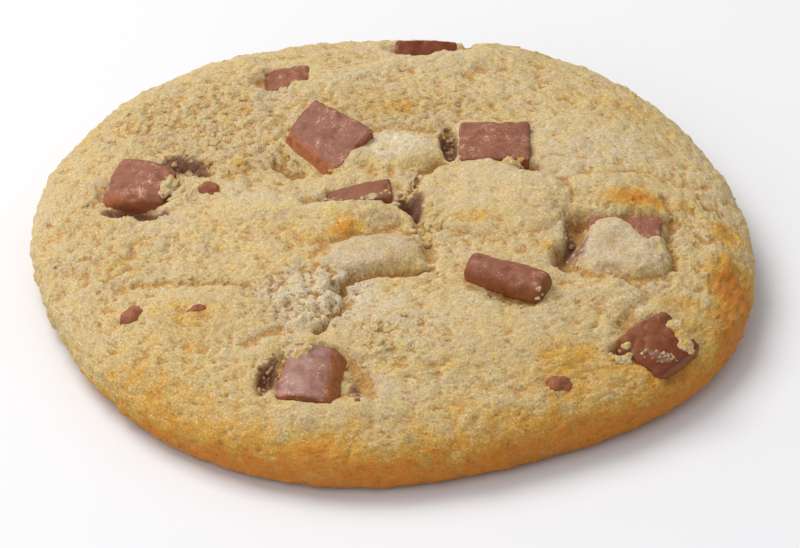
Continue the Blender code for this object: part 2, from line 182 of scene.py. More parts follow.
# Where the top is torn into clods: the same columns
TORN = {
    "middle": ((-10, -20.3), (8.5, 7.5), 0, 0.7, 0.8),
    "right_of_front_chunk": ((0, -29.5), (7, 7), 0, 0.45, 0.7),
    "crown_foot": ((4.4, -6), (2.6, 6), -8, 0.75, 0.7),
    "sliver_right": ((1.5, 1.5), (2.2, 3.4), 0, 0.6, 0.8),
    "left_edge": ((-25, -16), (8.5, 2.2), -6, 0.7, 0.7),
    "rear_streak": ((1, 22), (14, 6), 8, 0.5, 0.7),
    "rear_left": ((-24, 15), (14, 11), -35, 0.4, 0.7),
    "behind_left_chunk": ((-24, 9.5), (4.6, 2.8), -25, 0.7, 0.7),
    "before_left_chunk": ((-29.5, -1.2), (5, 2), -8, 0.6, 0.8),
    "left_of_front_chunk": ((-15, -33), (2.6, 5), -12, 0.5, 0.8),
    "round_rough_chunk": ((29, -28), (4, 4.5), 0, 0.45, 0.8),
    "right_side": ((36, -6), (3.6, 10), 0, 0.4, 0.8),
}
CLOD_HEIGHT = 0.26

# Where the oven browned the top, or left it pale (below 0): the same columns
BROWNED = {
    "crest": ((-5.7, -6.9), (4.6, 2.8), 20, 0.62, 0.9),
    "crest_left": ((-12.5, -7), (7, 3), -8, 0.25, 0.9),
    "beside_sliver": ((-7.8, -1.4), (3.4, 1.6), 10, 0.3, 0.9),
    "terrace": ((29.5, 1.2), (6, 2.8), -8, 0.85, 0.9),
    "terrace_end": ((36, 1), (2.2, 2.2), 0, 0.55, 0.9),
    "right_rim_rear": ((40.5, -3), (3.4, 5.5), 0, 0.6, 0.9),
    "right_rim": ((40.6, -13), (4.2, 7.5), 0, 1, 0.9),
    "right_rim_front": ((40, -21), (3.6, 4.2), 0, 0.6, 0.9),
    "front_spot": ((7, -33), (6, 2.6), 0, 0.18, 0.9),
    "front_spot_right": ((20, -30.5), (8, 4), 10, 0.12, 0.9),
    "by_rough": ((34, -19), (5, 4), 0, 0.3, 0.9),
    "left_field": ((-24, -25), (9, 6.5), -10, 0.22, 0.9),
    "left_of_front": ((-19, -33), (7, 5), -30, 0.12, 0.9),
    "left_edge_spot": ((-33, -10), (5, 5), 0, 0.18, 0.9),
    "rear_band": ((1, 22.5), (10, 4.5), 8, 0.25, 0.9),
    "right_rear": ((30, 24), (6, 5), -40, 0.28, 0.9),
    "crown_side": ((10.5, -4.5), (6, 3.4), 0, 0.3, 0.9),
    "crown_front": ((18.5, -9.5), (4.5, 3), -20, 0.28, 0.9),
    "middle_lump": ((0.5, 12), (6.5, 4.5), 8, -0.42, 0.8),
    "crown_top": ((12, 5.5), (9, 5), 0, -0.12, 0.8),
    "left_ridge": ((-16, 0.5), (9, 4.5), -8, -0.12, 0.8),
    "torn": ((-9, -19.5), (8.5, 7.5), 0, -0.6, 0.8),
    "tongue": ((-2.6, -11.8), (7, 4.2), 12, -0.4, 0.6),
    "centre_front": ((0, -23), (7, 7), 0, -0.25, 0.8),
    "lid": ((27, -9.9), (6, 6.2), -5, -0.38, 0.6),
    "right_field": ((24, 13), (10, 11), 20, -0.18, 0.8),
    "rear_ridge": ((2, 31), (16, 6), 12, -0.14, 0.8),
    "front_right_field": ((23, -31), (15, 7), 20, 0.32, 0.9),
    "left_front_field": ((-26, -32), (12, 7), -35, 0.08, 0.9),
}

# Where the dough stays whitish, as it is under a crust: the same columns
FLOURY = {
    "torn_middle": ((-9.5, -20.5), (9, 8), 0, 0.42, 0.9),
    "middle_lump": ((0.5, 12), (6.5, 4.5), 8, 0.2, 0.9),
    "lid": ((27, -9.9), (6.2, 6.4), -5, 0.1, 0.3),
}

# The front rim is browned most: how far up it the brown reaches and how softly it ends there, then the
# directions, in degrees from +X, where it starts and ends and how softly
FRONT_BROWN_LEVEL = 9.6
FRONT_BROWN_FADE = 5.6
FRONT_BROWN_START = (-162, 54)
FRONT_BROWN_END = (14, 50)

# How coarse and how browned the dough is where no table changes it
COARSE_START = 0.38
BROWNED_START = 0.27

# Relief of the crumb: how much smaller the fine domes are and how much wider apart the pits, the share of
# pits that are there, and the lengths of cracks, billows and clods
FINE_SHARE = 0.55
PIT_SPACING = 1.35
PIT_SHARE = 0.24
CRACK_LENGTH = 3.4
BILLOW_LENGTH = 2.2
CLOD_LENGTH = 2
CLOD_BILLOW_LENGTH = 1.2

# Hollows, into which the finish paints shade, are found from the skin drawn smooth: rounds and weight of a fine and
# of a wide smoothing
NEAR_ROUNDS = 4
NEAR_WEIGHT = 1.6
WIDE_ROUNDS = 50
WIDE_WEIGHT = 1.1

# Where melted chocolate has stained the dough, and where the same dark tone is painted shade, in the crevices
# beside the chunks and on the tongue: middle, half-lengths, turn, amount, slope share
STAIN_AND_SHADE_PLACES = {
    "behind_left_chunk": ((-25.5, 9.6), (4.6, 2.6), -25, 0.95, 0.7),
    # mostly painted shade in the deep crevice before the left chunk
    "before_left_chunk": ((-31.2, 0.2), (5.4, 2.2), -16, 1.3, 0.5),
    "left_of_left_chunk": ((-36, 5), (1.6, 4.5), 10, 0.45, 0.9),
    "sliver_front": ((-6.4, 0.4), (4.6, 1.3), 12, 0.65, 0.8),
    "middle_hole": ((2.2, -0.6), (2.6, 3), 10, 1, 0.7),
    "hole_left": ((-0.6, -4.4), (3.2, 1.2), 20, 0.45, 0.9),
    "beside_square_chunk": ((7.2, 14), (1.7, 4.8), 4, 0.95, 0.7),
    "under_square_chunk": ((16.4, 7.6), (3.6, 1.8), 0, 0.6, 0.8),
    "right_of_square": ((18.4, 10.5), (1.2, 3), 0, 0.4, 0.9),
    "lid_slot": ((21.9, -8), (1.9, 6.4), 6, 0.9, 0.7),
    "lid_front": ((25.5, -15.2), (3.4, 1.2), -5, 0.35, 0.9),
    "lid_rear": ((28, -2.2), (6.5, 1.2), -3, 0.6, 0.8),
    "far_left": ((-15.6, 28.6), (3.4, 1.4), 0, 0.4, 0.9),
    "front_chunk_left": ((-14.3, -34.2), (1.8, 4.2), -12, 1.1, 0.7),
    "front_chunk_right": ((-4.4, -36.6), (1.6, 4), 0, 0.8, 0.8),
    "rough_front": ((33.6, -30.8), (4.2, 1.8), -10, 0.55, 0.8),
    "rough_left": ((27, -28), (1.8, 1.9), 0, 0.5, 0.9),
    "tall_chunk_foot": ((-7, 7.6), (4, 1.4), -10, 0.35, 0.9),
    "tongue_foot": ((3.6, -14.6), (2.4, 1), 25, 0.6, 0.8),
    # the tongue's entry is painted shade, not stain; the lid's only darkens the dough there
    "tongue": ((-2.6, -11.8), (7.4, 4.6), 12, 0.36, 0.3),
    "lid": ((27, -9.9), (6.2, 6.4), -5, 0.35, 0.3),
    "before_sliver": ((-6, -0.9), (5, 1.2), 14, 0.4, 0.8),
}

# Square-cut chunks: middle of the top face, length, width and depth, turns (yaw, lean, roll), edge radius,
# then how much narrower the +X side is and how much further it reaches at the foot
CUT_CHUNKS = {
    "chunk_left": ((-31.2, 5.1, 11.3), (8.4, 8.6, 6), (-17, 12, -6), 1.2, 2.2, 0),
    "chunk_far_left": ((-13.4, 31.4, 9.9), (6.2, 5.2, 4), (3, 3, -13), 0.9, 0, 0),
    "chunk_tall": ((-8.6, 12.4, 12.5), (9.5, 9.2, 6.5), (-41, 25, 8), 0.8, 0, 0),
    "chunk_sliver": ((-4.2, 1.1, 11.7), (8.4, 3.6, 4.5), (2, 12, -16), 0.7, 0, 0),
    "chunk_square": ((12.8, 13.3, 11.9), (9, 8.4, 6), (-2, 3, -1), 0.9, 0, 0),
    "chunk_rear": ((4.5, 39.4, 9), (8.2, 3.6, 3.6), (0, 24, 2), 0.8, 0, 0),
    "chunk_lidded": ((28, -6.9, 10.4), (9.2, 8.8, 5), (-4, 8, -2), 0.9, 0, 0),
    "chunk_front": ((-9.4, -34.7, 10.4), (7.2, 9, 5), (-11, 11, 2), 0.9, 0, 3.6),
}
CUT_TAPER = 0.94
EDGE_SHARE = 0.65
# The dough is pressed down round a chunk's middle: how far inside its edges, how far the dough may stand
# over its top before it counts as a lid, and how deep under its top it is pressed
CUT_MARGIN = 0.45
CUT_LID = 0.35
CUT_DEPTH = 1.1
SOFT_MARGINS = (0.5, 0.4)
SOFT_LID = 0.6
SOFT_DEPTH = 1.9
# Nicks in the edges: spacing, share of places that have one, depth; then the faces' dents
NICK_SPACING = 1.6
NICK_SHARE = 0.38
NICK_DEPTH = 0.45
DENT_DEPTH = 0.18
# How dull the chunks' upper faces are, where it isn't 1; from about 0.95 up it also lays painted sheen on them
DULLNESS_AND_SHEEN = {"chunk_rear": -0.6, "chunk_sliver": 0.3, "chunk_far_left": 0.75, "chunk_left": 0.9, "chunk_front": 1.2}
DULL_BAR = 0.75
DULL_ROUGH = -0.35
# Chunks whose upper faces curve down to both sides, and by how much
BARRELLED = {"chunk_left": 0.9, "chunk_front": 0.8, "chunk_far_left": 0.4}
# Corners broken off square-cut chunks: a point of the break and its outward direction, in the chunk's frame
BREAKS = {
    "chunk_tall": (((-0.6, -2.1, 0), (-0.12, -0.7, 0.7)),),
    "chunk_left": (((0, -3.3, 0), (-0.05, -0.8, 0.6)),),
    "chunk_front": (((2.5, 0, 0), (0.78, 0.06, 0.62)),),
}

# Chunks that have softened in the oven: the same sizes, then how far they are rounded and how lumpy they are
SOFT_CHUNKS = {
    "chunk_bar": ((13.9, -17.3, 13.4), (10.4, 4.5, 4.2), (-24, 0, 3), 0.22, 0.3),
    "chunk_rough": ((31.7, -26.9, 9), (7.4, 8.4, 4.6), (-45, 6, 21), 0.25, 0.45),
}
SOFT_CUTS = 5
SOFT_LUMP_LENGTH = 1.8
BEAD_SPACING = 1.35
BEAD_HEIGHT = 0.42

# The chunks are made of even faces on grids this fine
CHUNK_GRID = 0.22
SOFT_GRID = CHUNK_GRID * 0.85

# Small chips fused to the dough: middle, half-lengths, turn, rise over the dough
CHIPS = {
    "chip_by_left_chunk": ((-22.3, 3.3), (1.45, 1.2), -10, 0.9),
    "chip_left_rim": ((-30.6, -21.4), (1.5, 1.9), -35, 0.6),
    "chip_left_field": ((-23, -22.3), (1.3, 0.8), 20, 0.5),
    "chip_front_right": ((19.4, -34.4), (1.6, 1.4), 5, 0.6),
}
CHIP_HALF_DEPTH = 1.2

# Heaps of crumb: middle, half-lengths, turn, how many, smallest and largest width, browned, stained, which
# beside the chunks is partly painted shade
HEAPS = {
    "on_left_chunk": ((-26.5, 3.9), (1.5, 2.3), -20, 34, 1, 2.1, 0.2, 0),
    "by_left_chunk": ((-25, 1.8), (1.5, 1.4), -20, 14, 0.8, 1.6, 0.1, 0),
    "before_left_chunk": ((-31, -0.6), (4, 0.9), -16, 110, 0.35, 0.85, 0.1, 1.9),
    "behind_left_chunk": ((-25, 9.8), (3.6, 2), -25, 40, 0.45, 1.1, 0.2, 1.3),
    "on_square_corner": ((15.6, 8.5), (2.2, 0.9), -14, 30, 0.8, 1.6, 0.45, 0.1),
    "beside_square": ((7.2, 14.2), (1.2, 4.2), 4, 50, 0.4, 0.95, 0.2, 1.4),
    "on_front_chunk": ((-11.6, -31), (2, 1.1), -30, 34, 0.8, 1.6, 0.22, 0),
    "left_of_front_chunk": ((-14.4, -33.6), (1.2, 3.2), -12, 60, 0.32, 0.75, 0.3, 1.1),
    "right_of_front_chunk": ((-4, -37.2), (0.8, 2.4), 0, 24, 0.4, 0.9, 0.25, 1.7),
    "end_of_bar": ((18.1, -21.3), (1.5, 1.3), -30, 60, 0.35, 0.85, 0, 0),
    "under_bar": ((14.5, -21), (4.6, 0.9), -26, 50, 0.4, 0.9, 0.2, 0.3),
    "sliver_front": ((-4.9, -0.8), (4.8, 0.7), 14, 100, 0.4, 0.85, 0, 1.1),
    "sliver_right": ((1.4, 0.8), (1.8, 2.6), 0, 46, 0.5, 1.2, 0.1, 0.3),
    "tall_foot": ((-6.6, 7.6), (1.6, 0.8), -10, 26, 0.45, 0.95, 0.45, 0.3),
    "crown_foot": ((4.3, -6.8), (1.8, 5.4), -8, 46, 0.5, 1.3, 0.25, 0.1),
    "crown_foot_left": ((2.6, 3.6), (1.3, 3.8), 0, 24, 0.5, 1.1, 0.1, 0.1),
    "lid_slot": ((21.9, -8.2), (1.1, 5.6), 6, 50, 0.35, 0.85, 0.1, 1.3),
    "rough_left": ((26.8, -29), (1.3, 1.6), 0, 22, 0.6, 1.4, 0.15, 0.1),
    "rough_front": ((31.2, -29), (2.4, 0.8), -4, 90, 0.3, 0.6, 0, 1.8),
    "smear_on_rough": ((34, -25.4), (2.8, 0.8), -66, 40, 0.7, 1.3, 0.38, 0.2),
    "far_left_front": ((-15, 28), (4, 1.2), 0, 40, 0.4, 0.9, 0.15, 0.2),
    "centre_front": ((0, -29), (7, 5), 0, 40, 0.5, 1.2, 0.28, 0),
    "left_edge": ((-25, -16.2), (8, 1.4), -6, 40, 0.4, 0.9, 0.35, 0),
    "rear_left_field": ((-24, 16), (13, 9), -35, 60, 0.5, 1.1, 0.3, 0),
    "right_side": ((36.5, -6), (3, 9), 0, 30, 0.4, 1, 0.35, 0),
}

# The heaps' stones are merged into lumps on a grid this fine; then the most of a stone that is sunk, how
# flat it is pressed and how browned all heaps are besides their own amount
HEAP_GRID = 0.15
HEAP_SINK = 0.3
HEAP_FLATNESS = 0.3
HEAP_BROWNED = 0.2
HEAP_SEED = 7

# Loose grains: smallest width, what the largest is wider by, share that is sunk and how flat they are pressed
GRAIN_WIDTH = 0.3
GRAIN_SPREAD = 0.4
GRAIN_SINK = 0.12
GRAIN_FLATNESS = 0.55
GRAIN_SEED = 100

# The camera stands far in front of the cookie and looks down at 33 degrees; its lens is in millimetres
CAMERA_PLACE = (-0.024, -500.65, 333.9)
CAMERA_AIM = (1.012, -5.18, 4)
CAMERA_LENS = 219.75

# Lights: place, width in metres, share of the key light's power, colour
LIGHTS = {
    "key": ((-270, 170, 520), 0.42, 1, (1, 0.975, 0.94)),
    "fill": ((-300, -420, 380), 0.5, 0.4, (0.98, 0.985, 1)),
}
LIGHT_AIM = (0, 0, 5)
SKY = (0.97, 0.98, 1, 1)
SKY_STRENGTH = 0.5
# The floor's width is in metres
FLOOR_SIZE = 3
FLOOR = (0.8, 0.8, 0.82)

# Tones of the dough besides those in the settings
FLOUR = (0.74, 0.63, 0.425)
YOLK = (0.67, 0.48, 0.12)
TOAST = (0.44, 0.19, 0.05)
# painted highlight: lighter tone on the tops of the crumb's bumps
CRUMB_TOP_HIGHLIGHT = (0.74, 0.66, 0.5)
# painted shade: darker orange-brown laid in the crumb's low spots and hollows
CRUMB_PIT_SHADE = (0.6, 0.31, 0.08)
PORE = (0.25, 0.085, 0.025)
WARM_PATCH = (0.6, 0.36, 0.11)
SAND_DARK = (0.52, 0.28, 0.07)
# whitish specks of sugar, partly painted glints
SUGAR_AND_GLINT = (0.86, 0.78, 0.58)

# Tones of the chocolate besides those in the settings
# fresh cut and broken faces, lightened as painted light on the chunks' sides
CUT_SIDE_AND_LIGHT = (0.41, 0.142, 0.055)
SHADOWED = (0.19, 0.062, 0.03)
DARKEST = (0.165, 0.034, 0.009)
# painted sheen: a lilac reflection laid into the upper faces' colour
SHEEN = (0.35, 0.19, 0.155)
FROST = (0.58, 0.34, 0.25)
# pale scuffs on the edges, partly painted edge highlights
SCUFF_AND_HIGHLIGHT = (0.58, 0.29, 0.17)


def tone(name, description, default):
    """One colour of the settings."""
    return FloatVectorProperty(
        name=name, description=description, default=default, subtype="COLOR", min=0.0, max=1.0
    )


class CookieSettings(PropertyGroup):
    """Sizes and colours of the cookie's looks."""

    crumb_height: FloatProperty(
        name="Crumb height", description="Height of the crumb's domes", default=0.20 * MM, min=0.0, unit="LENGTH"
    )
    crumb_width: FloatProperty(
        name="Crumb width",
        description="Width of the crumb's larger domes",
        default=0.85 * MM,
        min=0.3 * MM,
        unit="LENGTH",
    )
    grain_count: IntProperty(
        name="Grains", description="How many loose grains lie on the skin", default=1600, min=0, max=2400
    )
    cream: tone("Cream", "Palest dough", (0.635, 0.52, 0.35))
    straw: tone("Straw", "Most of the dough", (0.63, 0.475, 0.225))
    gold: tone("Gold", "Dough that has begun to brown", (0.63, 0.335, 0.048))
    crust: tone("Crust", "Browned dough at the rim", (0.59, 0.205, 0.019))
    # also the tone of painted shade in the crevices beside the chunks and on the tongue
    stain: tone("Stain", "Dough stained by chocolate", (0.245, 0.102, 0.07))
    chocolate: tone("Chocolate", "Fresh milk chocolate", (0.24, 0.076, 0.03))
    # the upper faces' dull tone, partly painted sheen
    bloom: tone("Bloom", "Dull chocolate on the upper faces", (0.275, 0.1, 0.054))
    light: FloatProperty(
        name="Key light", description="Power of the large soft light", default=2.9, min=0.0, unit="POWER"
    )


def soft_step(t):
    """0 below 0, 1 above 1, and a smooth S between them."""
    t = np.clip(t, 0.0, 1.0)
    return t * t * (3.0 - 2.0 * t)


def dome(away, reach):
    """A bump over a distance from its middle: 1 there, and 0 from its reach on."""
    return np.clip(1.0 - (away / reach) ** 2, 0.0, 1.0)


def rim_radius(angle):
    """Reach of the rim in a direction, in radians."""
    radius = RIM_RADIUS
    for turns, cosine, sine in RIM_WAVES:
        radius = radius + cosine * np.cos(turns * angle) + sine * np.sin(turns * angle)
    return radius


def dough_profile():
    """Points from the crown's middle, over the edge, to the base's middle.

    Columns: share of the radius, inset from the rim, height, and the outward normal's two parts.
    """
    crown = np.linspace(0.0, np.pi / 2, 200)
    edge = np.linspace(0.0, np.pi / 2, 60)[1:]
    base = np.linspace(1.0, 0.0, 60)[1:]
    power = 2.0 / CROWN_ROUNDNESS
    rise = CROWN_HEIGHT - RIM_HEIGHT
    share = np.concatenate([np.sin(crown) ** power, np.ones(edge.size), base])
    inset = np.concatenate([0 * crown, EDGE_TUCK * (1 - np.cos(edge)), EDGE_TUCK + 0 * base])
    height = np.concatenate([
        RIM_HEIGHT + rise * np.maximum(np.cos(crown), 0) ** power,
        RIM_HEIGHT * (1 - np.sin(edge)),
        0 * base,
    ])
    radius = (RIM_RADIUS - inset) * share
    along_radius, along_height = np.gradient(radius), np.gradient(height)
    length = np.hypot(along_radius, along_height)
    return share, inset, height, -along_height / length, along_radius / length


def lump(x, y, middle, halves, turn, height, edge_share, steep_foot=False):
    """One lobe, swell or dip: an ellipse whose edge slopes over a share of its size."""
    across, along = x - middle[0], y - middle[1]
    c, s = cos(radians(turn)), sin(radians(turn))
    reach = np.hypot((across * c + along * s) / halves[0], (along * c - across * s) / halves[1])
    inward = np.clip((1.0 - reach) / edge_share, 0.0, 1.0)
    return height * (np.sqrt(1.0 - (1.0 - inward) ** 2) if steep_foot else soft_step(inward))


def run(x, y, points, half_width, height):
    """One long ridge or groove, by the distance from the line through its points."""
    near = np.full(np.shape(x), 1e9)
    for (x0, y0), (x1, y1) in zip(points, points[1:]):
        dx, dy = x1 - x0, y1 - y0
        along = np.clip(((x - x0) * dx + (y - y0) * dy) / (dx * dx + dy * dy), 0.0, 1.0)
        near = np.minimum(near, np.hypot(x - x0 - along * dx, y - y0 - along * dy))
    return height * np.exp(-((near / half_width) ** 2))


def noise_at(x, y, z, length, seed, octaves=1):
    """Smooth noise, about -1 to 1, of a given feature length; seed is an offset."""
    flat = zip(np.ravel(x) / length + seed, np.ravel(y) / length, np.ravel(z) / length)
    if octaves == 1:
        return np.array([noise.noise(point) for point in flat])
    return np.array([noise.fractal(point, 1.0, 2.0, octaves) for point in flat])


def wandered(x, y):
    """Places moved a little, so that no feature keeps a plain outline."""
    wander_x = x + WANDER * noise_at(x, y, 0 * x, WANDER_LENGTH, 11.3)
    wander_y = y + WANDER * noise_at(x, y, 0 * x, WANDER_LENGTH, 47.9)
    return wander_x, wander_y


def relief(x, y):
    """Height of the top's relief over the smooth crown."""
    wander_x, wander_y = wandered(x, y)
    height = GENTLE_SWELL * noise_at(x, y, 0 * x, GENTLE_LENGTH, 3.1, octaves=2)
    for shape in LOBES.values():
        height = height + lump(wander_x, wander_y, *shape, steep_foot=True)
    for shape in SWELLS.values():
        height = height + lump(wander_x, wander_y, *shape)
    for shape in RUNS.values():
        height = height + run(wander_x, wander_y, *shape)
    return height


def dough_points(directions):
    """Lays unit directions over the dough: an even sphere becomes an even skin."""
    share, inset, height, normal_out, normal_up = dough_profile()
    radius = (RIM_RADIUS - inset) * share
    step = np.hypot(np.diff(radius), np.diff(height)) * (radius[1:] + radius[:-1]) / 2
    on_base = (height[1:] <= 0) & (height[:-1] <= 0)
    area = np.concatenate([[0.0], np.cumsum(np.where(on_base, BASE_SHARE, 1.0) * step)])
    wanted = (1.0 - directions[:, 2]) / 2.0 * area[-1]
    angle = np.arctan2(directions[:, 1], directions[:, 0])
    column = [np.interp(wanted, area, part) for part in (share, inset, height, normal_out, normal_up)]
    out = (rim_radius(angle) - column[1]) * column[0]
    x, y, z = out * np.cos(angle), out * np.sin(angle), column[2]
    on_top = soft_step((z - RIM_HEIGHT) / 2.5)
    above_base = soft_step(z / 1.5)
    shift = on_top * relief(x, y)
    shift += above_base * CRAG_HEIGHT * noise_at(x, y, z, CRAG_LENGTH, 5.7, octaves=3)
    return np.stack(
        [
            x + shift * column[3] * np.cos(angle),
            y + shift * column[3] * np.sin(angle),
            np.maximum(z + shift * column[4], 0.0),
        ],
        axis=1,
    )


def surface_height(x, y):
    """Height of the dough's top at one place, for what is set on it."""
    place_x, place_y = np.array([x]), np.array([y])
    share = np.hypot(place_x, place_y) / rim_radius(np.arctan2(place_y, place_x))
    rise = (1.0 - share**CROWN_ROUNDNESS) ** (1.0 / CROWN_ROUNDNESS)
    crown = RIM_HEIGHT + (CROWN_HEIGHT - RIM_HEIGHT) * rise
    return float((crown + relief(place_x, place_y))[0])


def chance_of(cell, seed):
    """An even random number from 0 to 1 for each whole-number place."""
    mixed = (cell[:, 0] * 73856093) ^ (cell[:, 1] * 19349663) ^ (cell[:, 2] * 83492791) ^ (seed * 2654435761)
    for shift, factor in ((13, 1274126177), (16, 2246822519)):
        mixed = ((mixed ^ (mixed >> shift)) & 0xFFFFFFFF) * factor & 0xFFFFFFFF
    return (mixed ^ (mixed >> 15)) / 2.0**32


def cells(points, size, seed):
    """Distance to the nearest of scattered seeds, in seed spacings, and that seed's random number."""
    scaled = points / size
    home = np.floor(scaled).astype(np.int64)
    nearest = np.full(len(points), 9.0)
    chance = np.zeros(len(points))
    for offset in product((-1, 0, 1), repeat=3):
        cell = home + np.array(offset)
        spot = cell + np.stack([chance_of(cell, seed + k) for k in (1, 2, 3)], axis=1)
        away = np.linalg.norm(scaled - spot, axis=1)
        closer = away < nearest
        nearest[closer] = away[closer]
        chance[closer] = chance_of(cell[closer], seed + 4)
    return nearest, chance


def field(x, y, table, start=0.0):
    """Sum of a table's soft ellipses over a start value, kept from 0 to about 1."""
    value = np.full(np.shape(x), start)
    for shape in table.values():
        value = value + lump(x, y, *shape)
    return np.clip(value, 0.0, 1.2)


def smoothed(points, edges, rounds):
    """Points drawn towards their neighbours' mean, a few times over."""
    count = np.bincount(edges.ravel(), minlength=len(points))
    for _ in range(rounds):
        total = [
            np.bincount(edges[:, 0], points[edges[:, 1], axis], len(points))
            + np.bincount(edges[:, 1], points[edges[:, 0], axis], len(points))
            for axis in range(3)
        ]
        points = 0.5 * points + 0.5 * np.stack(total, axis=1) / count[:, None]
    return points


def turn_matrix(turns):
    """Yaw, lean and roll as one matrix."""
    yaw, lean, roll = (radians(angle) for angle in turns)
    return Euler((0, 0, yaw)).to_matrix() @ Euler((lean, 0, 0)).to_matrix() @ Euler((0, roll, 0)).to_matrix()


def in_frame(points, place, turns):
    """Points, in millimetres, as seen from a piece set at a place with its turns."""
    return (points - np.array(place)) @ np.array(turn_matrix(turns))


def read(parts, name, width=3, kind=np.float64):
    """One property of all parts of a mesh, in rows."""
    values = np.empty(len(parts) * width, dtype=kind)
    parts.foreach_get(name, values)
    return values.reshape(-1, width)


def get_points(mesh):
    """A mesh's points in millimetres."""
    return read(mesh.vertices, "co") / MM


def set_points(mesh, points):
    """Moves a mesh's points, given in millimetres."""
    mesh.vertices.foreach_set("co", (points * MM).ravel())
    mesh.update()


def get_normals(mesh):
    """A mesh's normals at its points."""
    return read(mesh.vertex_normals, "vector")


def get_edges(mesh):
    """The two ends of each edge."""
    return read(mesh.edges, "vertices", 2, np.int32)


def get_triangles(mesh):
    """The corners of each triangle."""
    mesh.calc_loop_triangles()
    return read(mesh.loop_triangles, "vertices", 3, np.int32)


def get_field(mesh, name):
    """The numbers kept on a mesh's points."""
    return read(mesh.attributes[name].data, "value", 1, np.float32)[:, 0]


def add_fields(mesh, **fields):
    """Keeps numbers on a mesh for its material: one for each point, or one that all points share."""
    for name, values in fields.items():
        kept = np.full(len(mesh.vertices), values, dtype=np.float32)
        mesh.attributes.new(name, "FLOAT", "POINT").data.foreach_set("value", kept)


def mesh_of(name, points, triangles):
    """A mesh from arrays of points, in millimetres, and triangles."""
    mesh = bpy.data.meshes.new(name)
    mesh.vertices.add(len(points))
    mesh.vertices.foreach_set("co", (points * MM).ravel())
    mesh.loops.add(triangles.size)
    mesh.loops.foreach_set("vertex_index", triangles.ravel())
    mesh.polygons.add(len(triangles))
    mesh.polygons.foreach_set("loop_start", np.arange(0, triangles.size, 3))
    mesh.update(calc_edges=True)
    return mesh


def begin():
    """Leaves edit mode and selects nothing."""
    if bpy.context.mode != "OBJECT":
        bpy.ops.object.mode_set(mode="OBJECT")
    bpy.ops.object.select_all(action="DESELECT")


def add_new(add, name, **settings):
    """Adds a primitive, a light or a camera, which alone is selected."""
    begin()
    add(**settings)
    bpy.context.object.name = name
    return bpy.context.object


def edit_all():
    """Enters edit mode with everything selected."""
    bpy.ops.object.mode_set(mode="EDIT")
    bpy.ops.mesh.select_all(action="SELECT")


def edit_points(thing, test):
    """In edit mode, selects just the points that pass a test."""
    mesh = bmesh.from_edit_mesh(thing.data)
    mesh.select_mode = {"VERT"}
    for vertex in mesh.verts:
        vertex.select = test(vertex.co)
    mesh.select_flush_mode()
    bmesh.update_edit_mesh(thing.data)


def apply_modifier(thing, kind, **settings):
    """Adds one modifier and fixes what it makes."""
    modifier = thing.modifiers.new(kind.lower(), kind)
    for name, value in settings.items():
        setattr(modifier, name, value)
    bpy.context.view_layer.objects.active = thing
    bpy.ops.object.modifier_apply(modifier=modifier.name)


def set_down(thing, place, turns):
    """Sets a piece at its place, in millimetres, and fixes that in its mesh."""
    thing.matrix_world = Matrix.Translation(Vector(place) * MM) @ turn_matrix(turns).to_4x4()
    thing.select_set(True)
    bpy.context.view_layer.objects.active = thing
    bpy.ops.object.transform_apply(location=True, rotation=True, scale=True)


def finish_piece(thing, material, slot, *nodes):
    """Smooth shading, its material, and what the piece rides on and stands for."""
    thing.data.shade_smooth()
    thing.data.materials.clear()
    thing.data.materials.append(material)
    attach(thing, "root")
    if nodes:
        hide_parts(*nodes)


class Wire:
    """A shader value that sums can be written with."""

    def __init__(self, finish, socket):
        self.finish = finish
        self.socket = socket

    def math(self, operation, *others):
        """This value and others put together by one operation."""
        return self.finish.math(operation, self, *others)

    def __add__(self, other):
        return self.math("ADD", other)

    def __sub__(self, other):
        return self.math("SUBTRACT", other)

    def __mul__(self, other):
        return self.math("MULTIPLY", other)

    def __rsub__(self, other):
        return self.finish.math("SUBTRACT", other, self)

    __radd__ = __add__
    __rmul__ = __mul__


